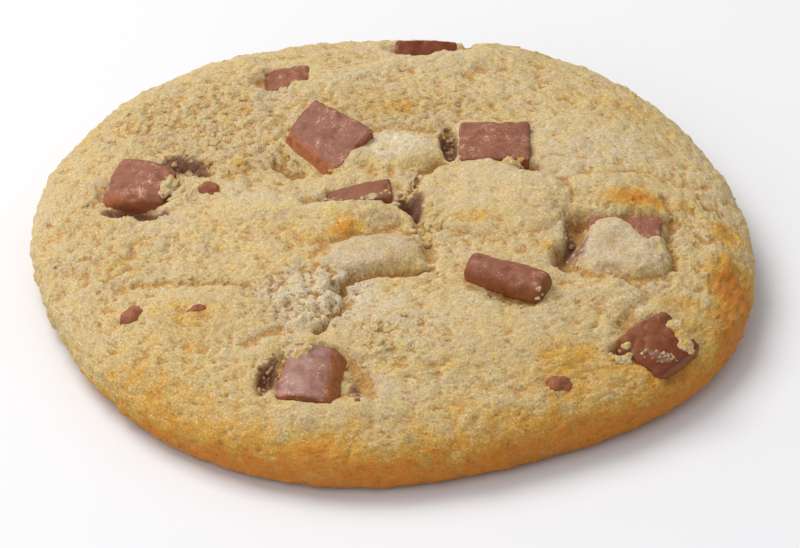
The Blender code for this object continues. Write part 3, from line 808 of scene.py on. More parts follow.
class Finish:
    """Builds one material out of nodes."""

    def __init__(self, name, roughness=0.8, specular=0.35):
        self.material = bpy.data.materials.new(name)
        self.material.use_nodes = True
        self.tree = self.material.node_tree
        self.shader = self.tree.nodes["Principled BSDF"]
        self.shader.inputs["Roughness"].default_value = roughness
        self.shader.inputs["Specular IOR Level"].default_value = specular
        self.places = self.node("ShaderNodeTexCoord").outputs["Object"]

    def node(self, kind, settings=None, values=None):
        """One node: its settings by name, then its sockets' values or links by name or number."""
        made = self.tree.nodes.new(kind)
        for name, value in (settings or {}).items():
            setattr(made, name, value)
        for key, value in (values or {}).items():
            self.feed(made.inputs[key], value)
        return made

    def feed(self, socket, value):
        """Links a socket to a wire or another socket, or sets its value."""
        if isinstance(value, Wire):
            value = value.socket
        if isinstance(value, bpy.types.NodeSocket):
            self.tree.links.new(value, socket)
        else:
            socket.default_value = value

    def math(self, operation, *values):
        """One step of arithmetic, as a wire."""
        made = self.node("ShaderNodeMath", {"operation": operation}, dict(enumerate(values)))
        return Wire(self, made.outputs[0])

    def step(self, value, low, high):
        """0 at low, 1 at high and a smooth S between them."""
        made = self.node(
            "ShaderNodeMapRange",
            {"interpolation_type": "SMOOTHSTEP"},
            {"Value": value, "From Min": low, "From Max": high},
        )
        return Wire(self, made.outputs["Result"])

    def grain(self, length, detail=2.0, rough=0.5, shift=0.0):
        """Noise of a feature length in millimetres, about 0 to 1."""
        moved = self.node(
            "ShaderNodeVectorMath", {"operation": "ADD"}, {0: self.places, 1: (shift, shift * 0.7, shift * 0.3)}
        )
        made = self.node(
            "ShaderNodeTexNoise",
            {},
            {"Vector": moved.outputs[0], "Scale": 1.0 / (length * MM), "Detail": detail, "Roughness": rough},
        )
        return Wire(self, made.outputs[0])

    def field(self, name):
        """A number kept on the mesh's points."""
        return Wire(self, self.node("ShaderNodeAttribute", {"attribute_name": name}).outputs["Fac"])

    def blend(self, low, high, share):
        """A colour between two colours."""
        made = self.node(
            "ShaderNodeMix",
            {"data_type": "RGBA", "clamp_factor": True},
            {"Factor": share, 6: self.colour(low), 7: self.colour(high)},
        )
        return made.outputs[2]

    def lay_over(self, colour, *layers):
        """Tones laid over a colour in turn, each with its share."""
        for layer, share in layers:
            colour = self.blend(colour, layer, share)
        return colour

    def colour(self, value):
        """A colour as a socket wants it."""
        return value if isinstance(value, bpy.types.NodeSocket) else (*value, 1.0)

    def shade(self, colour, factor):
        """A colour made lighter or darker by a factor."""
        made = self.node("ShaderNodeVectorMath", {"operation": "SCALE"}, {0: colour, "Scale": factor})
        return made.outputs[0]

    def set(self, name, value):
        """Feeds one input of the finish's shader."""
        self.feed(self.shader.inputs[name], value)

    def let_light_in(self, weight, depth, colour):
        """Light that travels a little way under the surface, to a depth in millimetres."""
        self.set("Subsurface Weight", weight)
        self.set("Subsurface Scale", depth * MM)
        self.set("Subsurface Radius", colour)

    def bump(self, height, distance, strength=1.0):
        """Fine relief that only the light sees."""
        made = self.node("ShaderNodeBump", {}, {"Height": height, "Distance": distance * MM, "Strength": strength})
        self.set("Normal", made.outputs[0])


def dough_finish(name, depth):
    """Baked dough: cream to straw to gold to crust, with a sandy crumb, stained near the chocolate.

    Painted shade darkens its crevices and hollows, painted highlights lighten the crumb's tops, and its sugar
    carries painted glints. Light travels under its surface to a depth in millimetres, 0 for loose crumbs.
    """
    settings = bpy.context.scene.cookie
    finish = Finish(name, roughness=0.85, specular=0.25)
    browned, stained, coarse = finish.field("browned"), finish.field("stained"), finish.field("coarse")
    deep, tint = finish.field("deep"), finish.field("tint")
    broad = finish.grain(7.0, 3.0)
    patch = finish.grain(2.4, 4.0, 0.6, shift=0.2)
    speck = finish.grain(0.75, 4.0, 0.62, shift=0.5)
    sand = finish.grain(0.30, 3.0, 0.6, shift=0.9)
    crumb = (speck - 0.5) * 1.5 + (sand - 0.5) * 1.3
    rough = 0.45 + coarse * 0.55
    warmth = browned + (broad - 0.5) * 0.7 + (patch - 0.5) * 1.1 + (speck - 0.5) * 0.7 + (tint - 0.5) * 0.1
    crusty = finish.step(warmth, 0.70, 1.15)
    pale = 1.0 - crusty * 0.85
    yolk = finish.step(finish.grain(1.6, 3.0, 0.6, shift=1.4), 0.52, 0.68) * pale
    toast = finish.step(speck, 0.43, 0.31) * finish.step(finish.grain(4.0, 2.0, shift=2.2), 0.42, 0.60)
    hollow = finish.step(deep, 0.03, 0.30)
    pore = finish.step(finish.grain(0.9, 3.0, 0.6, shift=3.1), 0.38, 0.28)
    smear_and_shade = finish.step(stained * (0.45 + patch * 0.7 + speck * 0.5), 0.22, 0.80)
    glint = finish.step(sand, 0.66, 0.76) * pale
    colour = finish.lay_over(
        FLOUR,
        (settings.cream, finish.step(warmth, -0.32, 0.06)),
        (settings.straw, finish.step(warmth, -0.14, 0.42)),
        (settings.gold, finish.step(warmth, 0.38, 0.88)),
        (settings.crust, finish.step(warmth, 0.84, 1.30)),
        (YOLK, yolk * 0.60),
        (TOAST, toast * (0.40 + coarse * 0.35 + crusty * 0.20)),
        # painted highlight on the crumb's tops
        (CRUMB_TOP_HIGHLIGHT, finish.step(crumb * rough, 0.14, 0.46) * pale * 0.5),
        # painted shade in the crumb's low spots and in hollows
        (CRUMB_PIT_SHADE, finish.step(crumb, -0.06, -0.36) * rough * 0.62 + hollow * 0.80),
        (PORE, pore * (crusty * 0.55 + coarse * 0.15)),
        (WARM_PATCH, finish.step(patch, 0.46, 0.32) * 0.30),
        # stain near the chocolate, partly painted shade in the crevices and on the tongue
        (settings.stain, smear_and_shade * 0.90),
        (SAND_DARK, finish.step(sand, 0.48, 0.30) * 0.40),
        # whitish sugar specks, partly painted glints
        (SUGAR_AND_GLINT, finish.step(sand, 0.52, 0.70) * pale * (0.40 - smear_and_shade * 0.34)),
    )
    # painted shade: hollows are made darker still
    colour = finish.shade(colour, 0.91 + (sand - 0.5) * 0.40 + (patch - 0.5) * 0.30 - hollow * 0.10)
    finish.set("Base Color", colour)
    finish.set("Roughness", 0.88 - glint * 0.35 - yolk * 0.12 - crusty * 0.15)
    if depth:
        finish.let_light_in(0.55, depth, (1.0, 0.80, 0.55))
    finish.bump(crumb * rough, 0.26, 0.9)
    return finish.material


def chocolate_finish():
    """Milk chocolate: warm brown sides, partly painted light, and dull pinkish upper faces with a painted sheen,
    pale scuffs that are partly painted edge highlights, and dust.
    """
    settings = bpy.context.scene.cookie
    finish = Finish("milk_chocolate_cut", roughness=0.5, specular=0.22)
    bloom, edge, fresh = finish.field("bloom"), finish.field("edge"), finish.field("fresh")
    broad = finish.grain(3.2, 3.0)
    patch = finish.grain(1.1, 4.0, 0.62, shift=0.3)
    dust = finish.grain(0.24, 3.0, 0.6, shift=0.8)
    dull = finish.step(bloom + (broad - 0.5) * 1.0 + (patch - 0.5) * 0.5, 0.20, 1.0)
    shadow = finish.step(patch * 0.6 + broad * 0.4, 0.50, 0.36)
    # painted sheen on the brightest upper faces; the coat's gloss follows it
    sheen = finish.step(bloom, 0.95, 1.3)
    frost = finish.step(patch * 0.55 + dust * 0.45, 0.51, 0.64) * finish.step(broad, 0.38, 0.58)
    # pale scuffs on the edges, partly painted edge highlights
    scuff_and_highlight = finish.step(edge + (patch - 0.5) * 1.8, 0.70, 1.15)
    colour = finish.lay_over(
        settings.chocolate,
        (settings.bloom, dull),
        # fresh faces, and painted light on the sides
        (CUT_SIDE_AND_LIGHT, fresh * 0.85),
        (SHADOWED, shadow * 0.50),
        (DARKEST, finish.step(bloom, 0.0, -0.5)),
        (SHEEN, sheen * 0.55),
        (FROST, frost * dull * 0.70),
        (SCUFF_AND_HIGHLIGHT, scuff_and_highlight * 0.60),
    )
    colour = finish.shade(colour, 0.97 + (dust - 0.5) * 0.9 + (patch - 0.5) * 0.8)
    finish.set("Base Color", colour)
    finish.set("Roughness", 0.45 + (patch - 0.5) * 0.5 + scuff_and_highlight * 0.2)
    finish.set("Coat Roughness", 0.30)
    finish.set("Coat Weight", sheen * 0.45)
    finish.bump(dust * 0.30 + patch * 0.5 + broad * 0.3, 0.20, 0.7)
    return finish.material


def dough_look():
    """The finish of the dough and its heaps, made when it is first wanted."""
    return bpy.data.materials.get("baked_dough_crumb") or dough_finish("baked_dough_crumb", 0.32)


def crumb_look():
    """The grains' finish, made when it is first wanted."""
    return bpy.data.materials.get("loose_dough_crumb") or dough_finish("loose_dough_crumb", 0.0)


def chocolate_look():
    """The chunks' and chips' finish, made when it is first wanted."""
    return bpy.data.materials.get("milk_chocolate_cut") or chocolate_finish()


def browned_at(points):
    """How browned the dough is at each point: the front rim most, and spots of the top."""
    x, y, z = points.T
    wander_x, wander_y = wandered(x, y)
    top = field(wander_x, wander_y, BROWNED, BROWNED_START)
    floury = field(wander_x, wander_y, FLOURY)
    angle = np.degrees(np.arctan2(y, x))
    (start, start_fade), (end, end_fade) = FRONT_BROWN_START, FRONT_BROWN_END
    front = soft_step((angle - start) / start_fade) * soft_step((end - angle) / end_fade)
    level = FRONT_BROWN_LEVEL + 1.3 * noise_at(x, y, z, 6.0, 8.8, octaves=2)
    low = soft_step((level - z) / FRONT_BROWN_FADE)
    round_rim = soft_step((5.2 - z) / 4.4)
    foot = soft_step((2.4 - z) / 2.0)
    return top - floury + front * low * (0.82 + 0.34 * foot) + 0.45 * round_rim


def press_under_chunks(points):
    """Draws the dough down under each chunk's top, unless it lies over the chunk as a lid."""
    for place, size, turns, _, narrowing, _ in CUT_CHUNKS.values():
        local = in_frame(points, place, turns)
        half_width = size[1] / 2 - np.where(local[:, 0] > 0, narrowing / 2, 0.0)
        inside = (np.abs(local[:, 0]) < size[0] / 2 - CUT_MARGIN) & (np.abs(local[:, 1]) < half_width - CUT_MARGIN)
        points = lower(points, local, inside, turns, CUT_LID, CUT_DEPTH)
    for place, size, turns, _, _ in SOFT_CHUNKS.values():
        local = in_frame(points, place, turns)
        half_length, half_width = size[0] / 2 - SOFT_MARGINS[0], size[1] / 2 - SOFT_MARGINS[1]
        reach = np.hypot(local[:, 0] / half_length, local[:, 1] / half_width)
        points = lower(points, local, reach < 1.0, turns, SOFT_LID, SOFT_DEPTH)
    return points


def lower(points, local, inside, turns, lid, depth):
    """Lowers the points inside a footprint to a depth under the chunk's top face."""
    upright = turn_matrix(turns)[2][2]
    drop = np.where(inside & (local[:, 2] < lid) & (local[:, 2] > -depth), (local[:, 2] + depth) / upright, 0.0)
    return points - np.stack([0 * drop, 0 * drop, drop], axis=1)


def billows(points, length, seed):
    """Rounded bumps with sharp creases between them, about 0 to 1."""
    flat = points / length + np.array([seed, 0.0, 0.0])
    return np.array([noise.turbulence(point, 3, True, amplitude_scale=0.55) for point in flat])


def crumb_shift(points, coarse, torn, height, width):
    """Relief of the crumb: domes of two sizes, pits and short cracks."""
    x, y, z = points.T
    moved = [0.20 * noise_at(x, y, z, 0.9, seed, 2) for seed in (21.0, 31.0, 41.0)]
    points = points + np.stack(moved, axis=1)
    large, large_chance = cells(points, width, 10)
    small, small_chance = cells(points, width * FINE_SHARE, 20)
    pit, pit_chance = cells(points, width * PIT_SPACING, 30)
    domes = dome(large, 0.78) * (0.25 + 0.95 * large_chance)
    fine = dome(small, 0.78) * (0.30 + 0.90 * small_chance)
    pits = dome(pit, 0.4) * (pit_chance > 1.0 - PIT_SHARE)
    crack = np.clip(1.0 - np.abs(noise_at(x, y, z, CRACK_LENGTH, 61.0)) / 0.07, 0.0, 1.0)
    crack *= soft_step(noise_at(x, y, z, 6.0, 71.0) * 3.0)
    strength = 0.14 + 1.45 * coarse
    shift = height * (strength * (1.15 * domes - 0.40) + (0.40 + 0.40 * coarse) * (fine - 0.35))
    shift = shift + height * 3.0 * strength * (billows(points, BILLOW_LENGTH, 5.0) - 0.45)
    clod, clod_chance = cells(points, CLOD_LENGTH, 40)
    clods = dome(clod, 0.8) * (0.35 + 0.65 * clod_chance)
    shift = shift + CLOD_HEIGHT * torn * (clods - 0.45 + 0.9 * (billows(points, CLOD_BILLOW_LENGTH, 15.0) - 0.45))
    return shift - (0.10 + 0.34 * coarse) * pits - (0.06 + 0.16 * coarse) * crack, small_chance


class COOKIE_OT_dough(Operator):
    """Adds the baked dough with its crumbly skin, cracks and browned rim"""

    bl_idname = "cookie.dough"
    bl_label = "Add Dough"
    bl_options = {"REGISTER", "UNDO"}

    def execute(self, context):
        settings = context.scene.cookie
        dough = add_new(bpy.ops.mesh.primitive_ico_sphere_add, "dough_skin", subdivisions=1, radius=1.0)
        edit_all()
        bpy.ops.mesh.subdivide(number_cuts=SKIN_CUTS)
        bpy.ops.object.mode_set(mode="OBJECT")
        mesh = dough.data
        ball = get_points(mesh)
        set_points(mesh, dough_points(ball / np.linalg.norm(ball, axis=1)[:, None]))
        base, normals = get_points(mesh), get_normals(mesh)
        coarse = field(base[:, 0], base[:, 1], COARSE, COARSE_START)
        torn = field(base[:, 0], base[:, 1], TORN)
        shift, tint = crumb_shift(base, coarse, torn, settings.crumb_height / MM, settings.crumb_width / MM)
        points = base + normals * (shift * soft_step(base[:, 2] / 1.2))[:, None]
        points = press_under_chunks(points)
        points[:, 2] = np.maximum(points[:, 2], 0.0)
        set_points(mesh, points)
        edges = get_edges(mesh)
        near = smoothed(points, edges, NEAR_ROUNDS)
        wide = smoothed(near, edges, WIDE_ROUNDS)
        # how far each point lies under the smoothed skin; the finish paints shade into these hollows
        deep = ((near - points) * normals).sum(axis=1) * NEAR_WEIGHT
        deep = deep + ((wide - near) * normals).sum(axis=1) * WIDE_WEIGHT
        x, y = wandered(points[:, 0], points[:, 1])
        # stain near the chocolate, partly painted shade in the crevices and on the tongue
        stained = field(x, y, STAIN_AND_SHADE_PLACES) * soft_step((points[:, 2] - 4.0) / 2.0)
        browned = browned_at(points)
        add_fields(mesh, deep=deep, tint=tint, coarse=coarse + 0.2 * torn, browned=browned, stained=stained)
        finish_piece(dough, dough_look(), "baked_dough", "dough")
        return {"FINISHED"}


class COOKIE_OT_cut_chunks(Operator):
    """Adds the square-cut chunks of milk chocolate"""

    bl_idname = "cookie.cut_chunks"
    bl_label = "Add Cut Chunks"
    bl_options = {"REGISTER", "UNDO"}

    def execute(self, context):
        for number, name in enumerate(CUT_CHUNKS):
            self.add_chunk(name, number, *CUT_CHUNKS[name])
        return {"FINISHED"}

    def add_chunk(self, name, number, place, size, turns, radius, narrowing, spread):
        """One chunk: a cube shaped in edit mode, bevelled, remeshed and worn."""
        length, width, depth = size
        thing = add_new(bpy.ops.mesh.primitive_cube_add, name + "_look", size=1.0)
        edit_all()
        bpy.ops.transform.resize(value=(length * MM, width * MM, depth * MM))
        bpy.ops.transform.translate(value=(0, 0, -depth / 2 * MM))
        edit_points(thing, lambda co: co.z < -depth / 2 * MM)
        bpy.ops.transform.resize(value=(CUT_TAPER, CUT_TAPER, 1))
        edit_points(thing, lambda co: co.x > 0)
        bpy.ops.transform.resize(value=(1, (width - narrowing) / width, 1))
        edit_points(thing, lambda co: co.x > 0 and co.z < -depth / 2 * MM)
        bpy.ops.transform.translate(value=(spread * MM, 0, 0))
        for point, outward in BREAKS.get(name, ()):
            bpy.ops.mesh.select_all(action="SELECT")
            bpy.ops.mesh.bisect(
                plane_co=Vector(point) * MM, plane_no=outward, use_fill=True, clear_outer=True, threshold=1e-7
            )
        bpy.ops.object.mode_set(mode="OBJECT")
        edge = {"width": EDGE_SHARE * radius * MM, "limit_method": "ANGLE", "angle_limit": radians(20)}
        apply_modifier(thing, "BEVEL", segments=4, **edge)
        apply_modifier(thing, "REMESH", mode="VOXEL", voxel_size=CHUNK_GRID * MM)
        self.wear(thing, name, number, size, narrowing)
        set_down(thing, place, turns)
        finish_piece(thing, chocolate_look(), "milk_chocolate", name)

    def wear(self, thing, name, number, size, narrowing):
        """Dents and bites in the faces and edges, and the fields that colour them."""
        mesh = thing.data
        points, normals = get_points(mesh), get_normals(mesh)
        x, y, z = points.T
        seed = 3.7 * number
        half_width = size[1] / 2 - np.clip(x / size[0] + 0.5, 0, 1) * narrowing / 2
        inset = np.sort(np.stack([size[0] / 2 - np.abs(x), half_width - np.abs(y), -z]), axis=0)
        edge = np.clip(1.0 - inset[1] / 1.1, 0.0, 1.0)
        nick, nick_chance = cells(points, NICK_SPACING, 50 + number)
        bite = dome(nick, 0.42) * (nick_chance > 1.0 - NICK_SHARE) * edge
        shift = DENT_DEPTH * noise_at(x, y, z, 3.4, seed, 2) + 0.05 * noise_at(x, y, z, 0.9, seed, 3)
        shift = shift - NICK_DEPTH * bite - 0.05
        droop = BARRELLED.get(name, 0.1) * (2.0 * np.abs(x) / size[0]) ** 2.5 * soft_step(1.0 + z / size[2])
        set_points(mesh, points + normals * shift[:, None] - np.outer(droop, (0.0, 0.0, 1.0)))
        fresh = np.zeros(len(points))
        for point, outward in BREAKS.get(name, ()):
            away = ((points - np.array(point)) * np.array(outward)).sum(axis=1) / np.linalg.norm(outward)
            fresh = np.maximum(fresh, soft_step(1.0 - np.abs(away) / 0.45))
        upward = normals[:, 2]
        # the upper faces' field also lays painted sheen, and the side faces' field lightens them as painted light
        add_fields(
            mesh,
            bloom=DULLNESS_AND_SHEEN.get(name, 1.0) * soft_step((upward - 0.15) / 0.75) * (1.0 - fresh),
            edge=edge * soft_step(upward + 0.6),
            fresh=np.maximum(fresh, 0.55 * soft_step((0.45 - upward) / 0.5)),
        )


class COOKIE_OT_soft_chunks(Operator):
    """Adds the chunks that softened in the oven, and the small chips"""

    bl_idname = "cookie.soft_chunks"
    bl_label = "Add Soft Chunks and Chips"
    bl_options = {"REGISTER", "UNDO"}

    def execute(self, context):
        for name, (place, size, turns, rounding, lumpiness) in SOFT_CHUNKS.items():
            thing = self.soft_block(name + "_look", size, rounding, lumpiness)
            self.roughen(thing, name)
            set_down(thing, place, turns)
            finish_piece(thing, chocolate_look(), "milk_chocolate", name)
        for number, (name, (middle, halves, turn, rise)) in enumerate(CHIPS.items()):
            thing = self.chip(name, number, halves)
            set_down(thing, (*middle, surface_height(*middle) + rise - CHIP_HALF_DEPTH), (turn, 0, 0))
            finish_piece(thing, chocolate_look(), "milk_chocolate")
        return {"FINISHED"}

    def soft_block(self, name, size, rounding, lumpiness):
        """A fine cube drawn towards a ball and made uneven, top at about z = 0."""
        length, width, depth = size
        thing = add_new(bpy.ops.mesh.primitive_cube_add, name, size=1.0)
        edit_all()
        bpy.ops.mesh.subdivide(number_cuts=SOFT_CUTS)
        bpy.ops.object.mode_set(mode="OBJECT")
        for vertex in thing.data.vertices:
            ball = vertex.co.normalized() * 0.5
            place = vertex.co.copy()
            if length > 2 * width:
                place.yz = place.yz.normalized() * max(abs(place.y), abs(place.z))
            place = place.lerp(ball, rounding)
            place = Vector((place.x * length, place.y * width, place.z * depth - depth / 2))
            swell = lumpiness * noise.noise(place / SOFT_LUMP_LENGTH + Vector((length, 0, 0)))
            vertex.co = (place + ball.normalized() * swell) * MM
        apply_modifier(thing, "SUBSURF", levels=2, render_levels=2)
        apply_modifier(thing, "REMESH", mode="VOXEL", voxel_size=SOFT_GRID * MM)
        return thing

    def roughen(self, thing, name):
        """Lumps and scratches; the rough chunk has melted into beads on its lower side."""
        mesh = thing.data
        points, normals = get_points(mesh), get_normals(mesh)
        x, y, z = points.T
        beaded = soft_step((0.8 - x + 0.6 * noise_at(x, y, z, 2.0, 5.0)) / 2.0) if name == "chunk_rough" else 0.0 * x
        bead, bead_chance = cells(points, BEAD_SPACING, 90)
        lumps = dome(bead, 0.8) * (0.35 + bead_chance)
        shift = 0.10 * noise_at(x, y, z, 2.2, 9.0, 2) + 0.05 * noise_at(x, y, z, 0.7, 4.0, 2)
        shift = shift + beaded * (BEAD_HEIGHT * lumps - 0.16)
        set_points(mesh, points + normals * shift[:, None])
        upward = normals[:, 2]
        dull = DULL_BAR if name == "chunk_bar" else DULL_ROUGH
        # the side faces' field lightens them as painted light
        add_fields(
            mesh,
            bloom=soft_step((upward + 0.1) / 0.8) * (dull + 0.4 * beaded),
            edge=0.25 * soft_step(upward),
            fresh=0.5 * soft_step((0.3 - upward) / 0.6),
        )

    def chip(self, name, number, halves):
        """A flattened, uneven ball."""
        thing = add_new(bpy.ops.mesh.primitive_ico_sphere_add, name, subdivisions=4, radius=1.0)
        mesh = thing.data
        ball = get_points(mesh) * MM
        swell = 1.0 + 0.22 * noise_at(*ball.T, 0.8, 7.1 * number, 2)
        set_points(mesh, ball * swell[:, None] * np.array([*halves, CHIP_HALF_DEPTH]))
        add_fields(mesh, bloom=soft_step(ball[:, 2]) * 0.5, edge=0.2, fresh=0.45)
        return thing


def stone_shape(seed, rounds):
    """One small uneven stone of dough, modelled once: its points, about 1 across, and triangles."""
    stone = add_new(bpy.ops.mesh.primitive_ico_sphere_add, "stone", subdivisions=rounds, radius=0.5)
    edit_all()
    bpy.ops.transform.vertex_random(offset=0.20, uniform=0.7, normal=0.3, seed=seed)
    bpy.ops.object.mode_set(mode="OBJECT")
    shape = get_points(stone.data) * MM, get_triangles(stone.data)
    bpy.data.meshes.remove(stone.data)
    return shape


def random_turns(rng, count):
    """Evenly spread turns, as matrices."""
    quaternion = rng.normal(size=(count, 4))
    w, x, y, z = (quaternion / np.linalg.norm(quaternion, axis=1)[:, None]).T
    rows = [
        [1 - 2 * (y * y + z * z), 2 * (x * y - w * z), 2 * (x * z + w * y)],
        [2 * (x * y + w * z), 1 - 2 * (x * x + z * z), 2 * (y * z - w * x)],
        [2 * (x * z - w * y), 2 * (y * z + w * x), 1 - 2 * (x * x + y * y)],
    ]
    return np.array(rows).transpose(2, 0, 1)


def scatter(name, shape, centres, widths, outward, flatness, fields, rng):
    """One piece made of many copies of a shape, each turned and stretched its own way.

    Each is pressed flatter along its outward direction, as a crumb that is baked into the skin.
    """
    points, triangles = shape
    count = len(centres)
    stretch = 1.0 + 0.45 * (rng.random((count, 1, 3)) - 0.5)
    turned = np.einsum("nij,nvj->nvi", random_turns(rng, count), points[None] * stretch)
    rise = np.einsum("nvi,ni->nv", turned, outward)
    turned = turned - flatness * rise[:, :, None] * outward[:, None, :]
    placed = turned * widths[:, None, None] + centres[:, None, :]
    corners = triangles[None] + (np.arange(count) * len(points))[:, None, None]
    mesh = mesh_of(name, placed.reshape(-1, 3), corners.reshape(-1, 3).astype(np.int32))
    add_fields(mesh, **{key: np.repeat(values, len(points)) for key, values in fields.items()})
    thing = bpy.data.objects.new(name, mesh)
    bpy.context.scene.collection.objects.link(thing)
    return thing


class COOKIE_OT_grains(Operator):
    """Scatters loose grains over the dough, most where its crumb is coarse"""

    bl_idname = "cookie.grains"
    bl_label = "Add Grains"
    bl_options = {"REGISTER", "UNDO"}

    def execute(self, context):
        settings = context.scene.cookie
        mesh = bpy.data.objects["dough_skin"].data
        points, triangles = get_points(mesh), get_triangles(mesh)
        kept = {name: get_field(mesh, name)[triangles].mean(axis=1) for name in ("browned", "stained", "coarse")}
        corner = points[triangles]
        across = np.cross(corner[:, 1] - corner[:, 0], corner[:, 2] - corner[:, 0])
        area = np.linalg.norm(across, axis=1) / 2
        outward = across / np.maximum(2 * area, 1e-9)[:, None]
        height = corner[:, :, 2].mean(axis=1)
        bare = self.clear_of_chunks(corner.mean(axis=1))
        weight = area * (0.35 + 1.3 * kept["coarse"]) * soft_step((height - 1.2) / 1.5) * bare
        rng = np.random.default_rng(GRAIN_SEED)
        count = settings.grain_count
        picked = rng.choice(len(triangles), size=count, p=weight / weight.sum())
        width = GRAIN_WIDTH + GRAIN_SPREAD * rng.random(count) ** 2
        centre = corner[picked].mean(axis=1) - outward[picked] * GRAIN_SINK * width[:, None]
        fields = {
            # painted glow: browned 0.22 over the skin, warming the grains' shaded sides as light under the surface
            # would
            "browned": kept["browned"][picked] + 0.22 + 0.10 * rng.normal(size=count),
            "stained": kept["stained"][picked] * 0.8,
            "deep": np.full(count, -0.1),
            "coarse": kept["coarse"][picked],
            "tint": rng.random(count),
        }
        stone = stone_shape(1, 1)
        grains = scatter("grains", stone, centre, width, outward[picked], GRAIN_FLATNESS, fields, rng)
        finish_piece(grains, crumb_look(), "baked_dough")
        return {"FINISHED"}

    def clear_of_chunks(self, places):
        """0 where a chunk covers the dough."""
        bare = np.ones(len(places))
        for name, table in list(CUT_CHUNKS.items()) + list(SOFT_CHUNKS.items()):
            local = in_frame(places, table[0], table[2])
            reach = np.maximum(np.abs(local[:, 0]) / (table[1][0] / 2), np.abs(local[:, 1]) / (table[1][1] / 2))
            bare[(reach < 0.97) & (local[:, 2] < 0.3)] = 0.0
        return bare


class COOKIE_OT_heaps(Operator):
    """Heaps larger crumbs on and beside the chunks and in the torn places of the top"""

    bl_idname = "cookie.heaps"
    bl_label = "Add Crumb Heaps"
    bl_options = {"REGISTER", "UNDO"}

    def execute(self, context):
        context.view_layer.update()
        rng = np.random.default_rng(HEAP_SEED)
        centres, widths, colours = [], [], []
        for middle, halves, turn, count, smallest, largest, browned, stained in HEAPS.values():
            c, s = cos(radians(turn)), sin(radians(turn))
            for _ in range(count):
                angle, reach = rng.random() * 2 * pi, rng.random() ** 0.6
                across, along = halves[0] * reach * cos(angle), halves[1] * reach * sin(angle)
                place = (middle[0] + across * c - along * s, middle[1] + across * s + along * c)
                if self.drop(context, place) < RIM_HEIGHT:
                    continue
                width = smallest + (largest - smallest) * rng.random() ** 1.8 * (1.15 - 0.5 * reach)
                centres.append((*place, self.drop(context, place) - HEAP_SINK * width * rng.random()))
                widths.append(width)
                colours.append((HEAP_BROWNED + browned + 0.15 * rng.normal(), stained * rng.random() * 1.1))
        upward = np.tile((0.0, 0.0, 1.0), (len(centres), 1))
        stone, places = stone_shape(5, 2), np.array(centres)
        heaps = scatter("crumb_heaps", stone, places, np.array(widths), upward, HEAP_FLATNESS, {}, rng)
        apply_modifier(heaps, "REMESH", mode="VOXEL", voxel_size=HEAP_GRID * MM)
        mesh = heaps.data
        points, normals = get_points(mesh), get_normals(mesh)
        bumpy = 0.10 * noise_at(*points.T, 0.9, 3.0, 3) + 0.12 * (billows(points, 1.4, 25.0) - 0.45)
        set_points(mesh, points + normals * bumpy[:, None])
        tree = KDTree(len(centres))
        for number, centre in enumerate(centres):
            tree.insert(centre, number)
        tree.balance()
        colours = np.array(colours)[[tree.find(point)[1] for point in points]]
        # hollows between the merged stones, into which the finish paints shade
        near = smoothed(points, get_edges(mesh), 12)
        deep = ((near - points) * normals).sum(axis=1) * 2.0
        tint = noise_at(*points.T, 1.3, 9.0) * 0.5 + 0.5
        add_fields(mesh, browned=colours[:, 0], stained=colours[:, 1], deep=deep, coarse=0.7, tint=tint)
        finish_piece(heaps, dough_look(), "baked_dough")
        return {"FINISHED"}

    def drop(self, context, place):
        """Height of whatever lies at a place, seen from above."""
        start = Vector((place[0], place[1], 40.0)) * MM
        struck, where, *_ = context.scene.ray_cast(context.evaluated_depsgraph_get(), start, Vector((0, 0, -1)))
        return where.z / MM if struck else 0.0


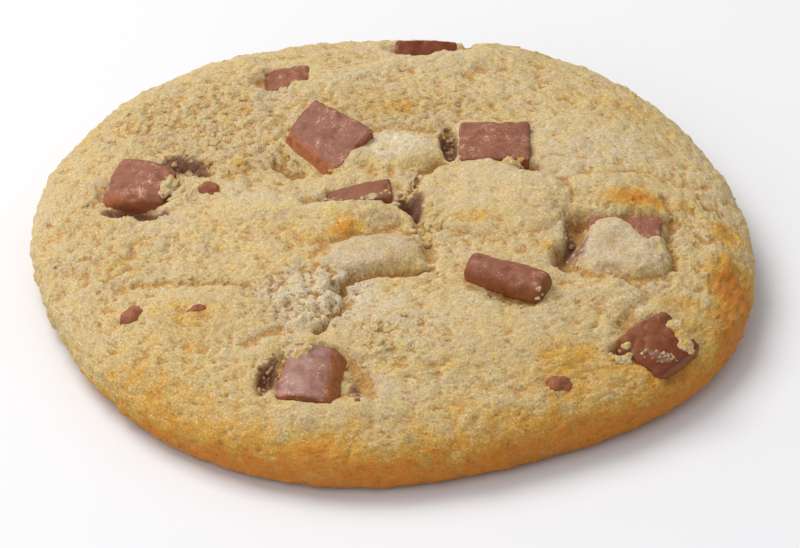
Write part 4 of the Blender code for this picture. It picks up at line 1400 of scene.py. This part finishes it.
class COOKIE_OT_studio(Operator):
    """Adds the pale floor, the soft lights and the camera"""

    bl_idname = "cookie.studio"
    bl_label = "Add Studio"
    bl_options = {"REGISTER", "UNDO"}

    def execute(self, context):
        scene = context.scene
        floor = add_new(bpy.ops.mesh.primitive_plane_add, "floor", size=FLOOR_SIZE)
        finish = Finish("pale_floor", roughness=0.9, specular=0.1)
        cloud = finish.grain(60.0, 2.0)
        finish.set("Base Color", finish.shade(FLOOR, 0.985 + (cloud - 0.5) * 0.03))
        floor.data.materials.append(finish.material)
        for name, (place, size, share, colour) in LIGHTS.items():
            light = add_new(bpy.ops.object.light_add, name, type="AREA")
            light.data.size = size
            light.data.energy = scene.cookie.light * share
            light.data.color = colour
            self.aim(light, place, LIGHT_AIM)
        world = bpy.data.worlds.new("studio")
        world.use_nodes = True
        sky = world.node_tree.nodes["Background"]
        sky.inputs["Color"].default_value = SKY
        sky.inputs["Strength"].default_value = SKY_STRENGTH
        scene.world = world
        scene.view_settings.view_transform = "Standard"
        camera = add_new(bpy.ops.object.camera_add, "camera")
        camera.data.lens = CAMERA_LENS
        camera.data.sensor_width = 36.0
        camera.data.clip_start = 0.01
        self.aim(camera, CAMERA_PLACE, CAMERA_AIM)
        scene.camera = camera
        return {"FINISHED"}

    def aim(self, thing, place, target):
        """Sets a thing at a place and turns it to a target, both in millimetres."""
        thing.location = Vector(place) * MM
        thing.rotation_euler = (Vector(target) - Vector(place)).to_track_quat("-Z", "Y").to_euler()


class COOKIE_PT_panel(Panel):
    """The cookie's pieces and settings"""

    bl_label = "Cookie"
    bl_idname = "COOKIE_PT_panel"
    bl_space_type = "VIEW_3D"
    bl_region_type = "UI"
    bl_category = "Cookie"

    def draw(self, context):
        for name in CookieSettings.__annotations__:
            self.layout.prop(context.scene.cookie, name)
        for step in STEPS:
            self.layout.operator(step.bl_idname)


STEPS = (
    COOKIE_OT_dough,
    COOKIE_OT_cut_chunks,
    COOKIE_OT_soft_chunks,
    COOKIE_OT_heaps,
    COOKIE_OT_grains,
    COOKIE_OT_studio,
)
CLASSES = (CookieSettings, *STEPS, COOKIE_PT_panel)


def register():
    for cls in CLASSES:
        bpy.utils.register_class(cls)
    bpy.types.Scene.cookie = PointerProperty(type=CookieSettings)


def unregister():
    del bpy.types.Scene.cookie
    for cls in reversed(CLASSES):
        bpy.utils.unregister_class(cls)


def main():
    """Makes the cookie and its studio, piece by piece."""
    register()
    bpy.ops.cookie.dough()
    bpy.ops.cookie.cut_chunks()
    bpy.ops.cookie.soft_chunks()
    bpy.ops.cookie.heaps()
    bpy.ops.cookie.grains()
    bpy.ops.cookie.studio()


if __name__ == "__main__":
    main()
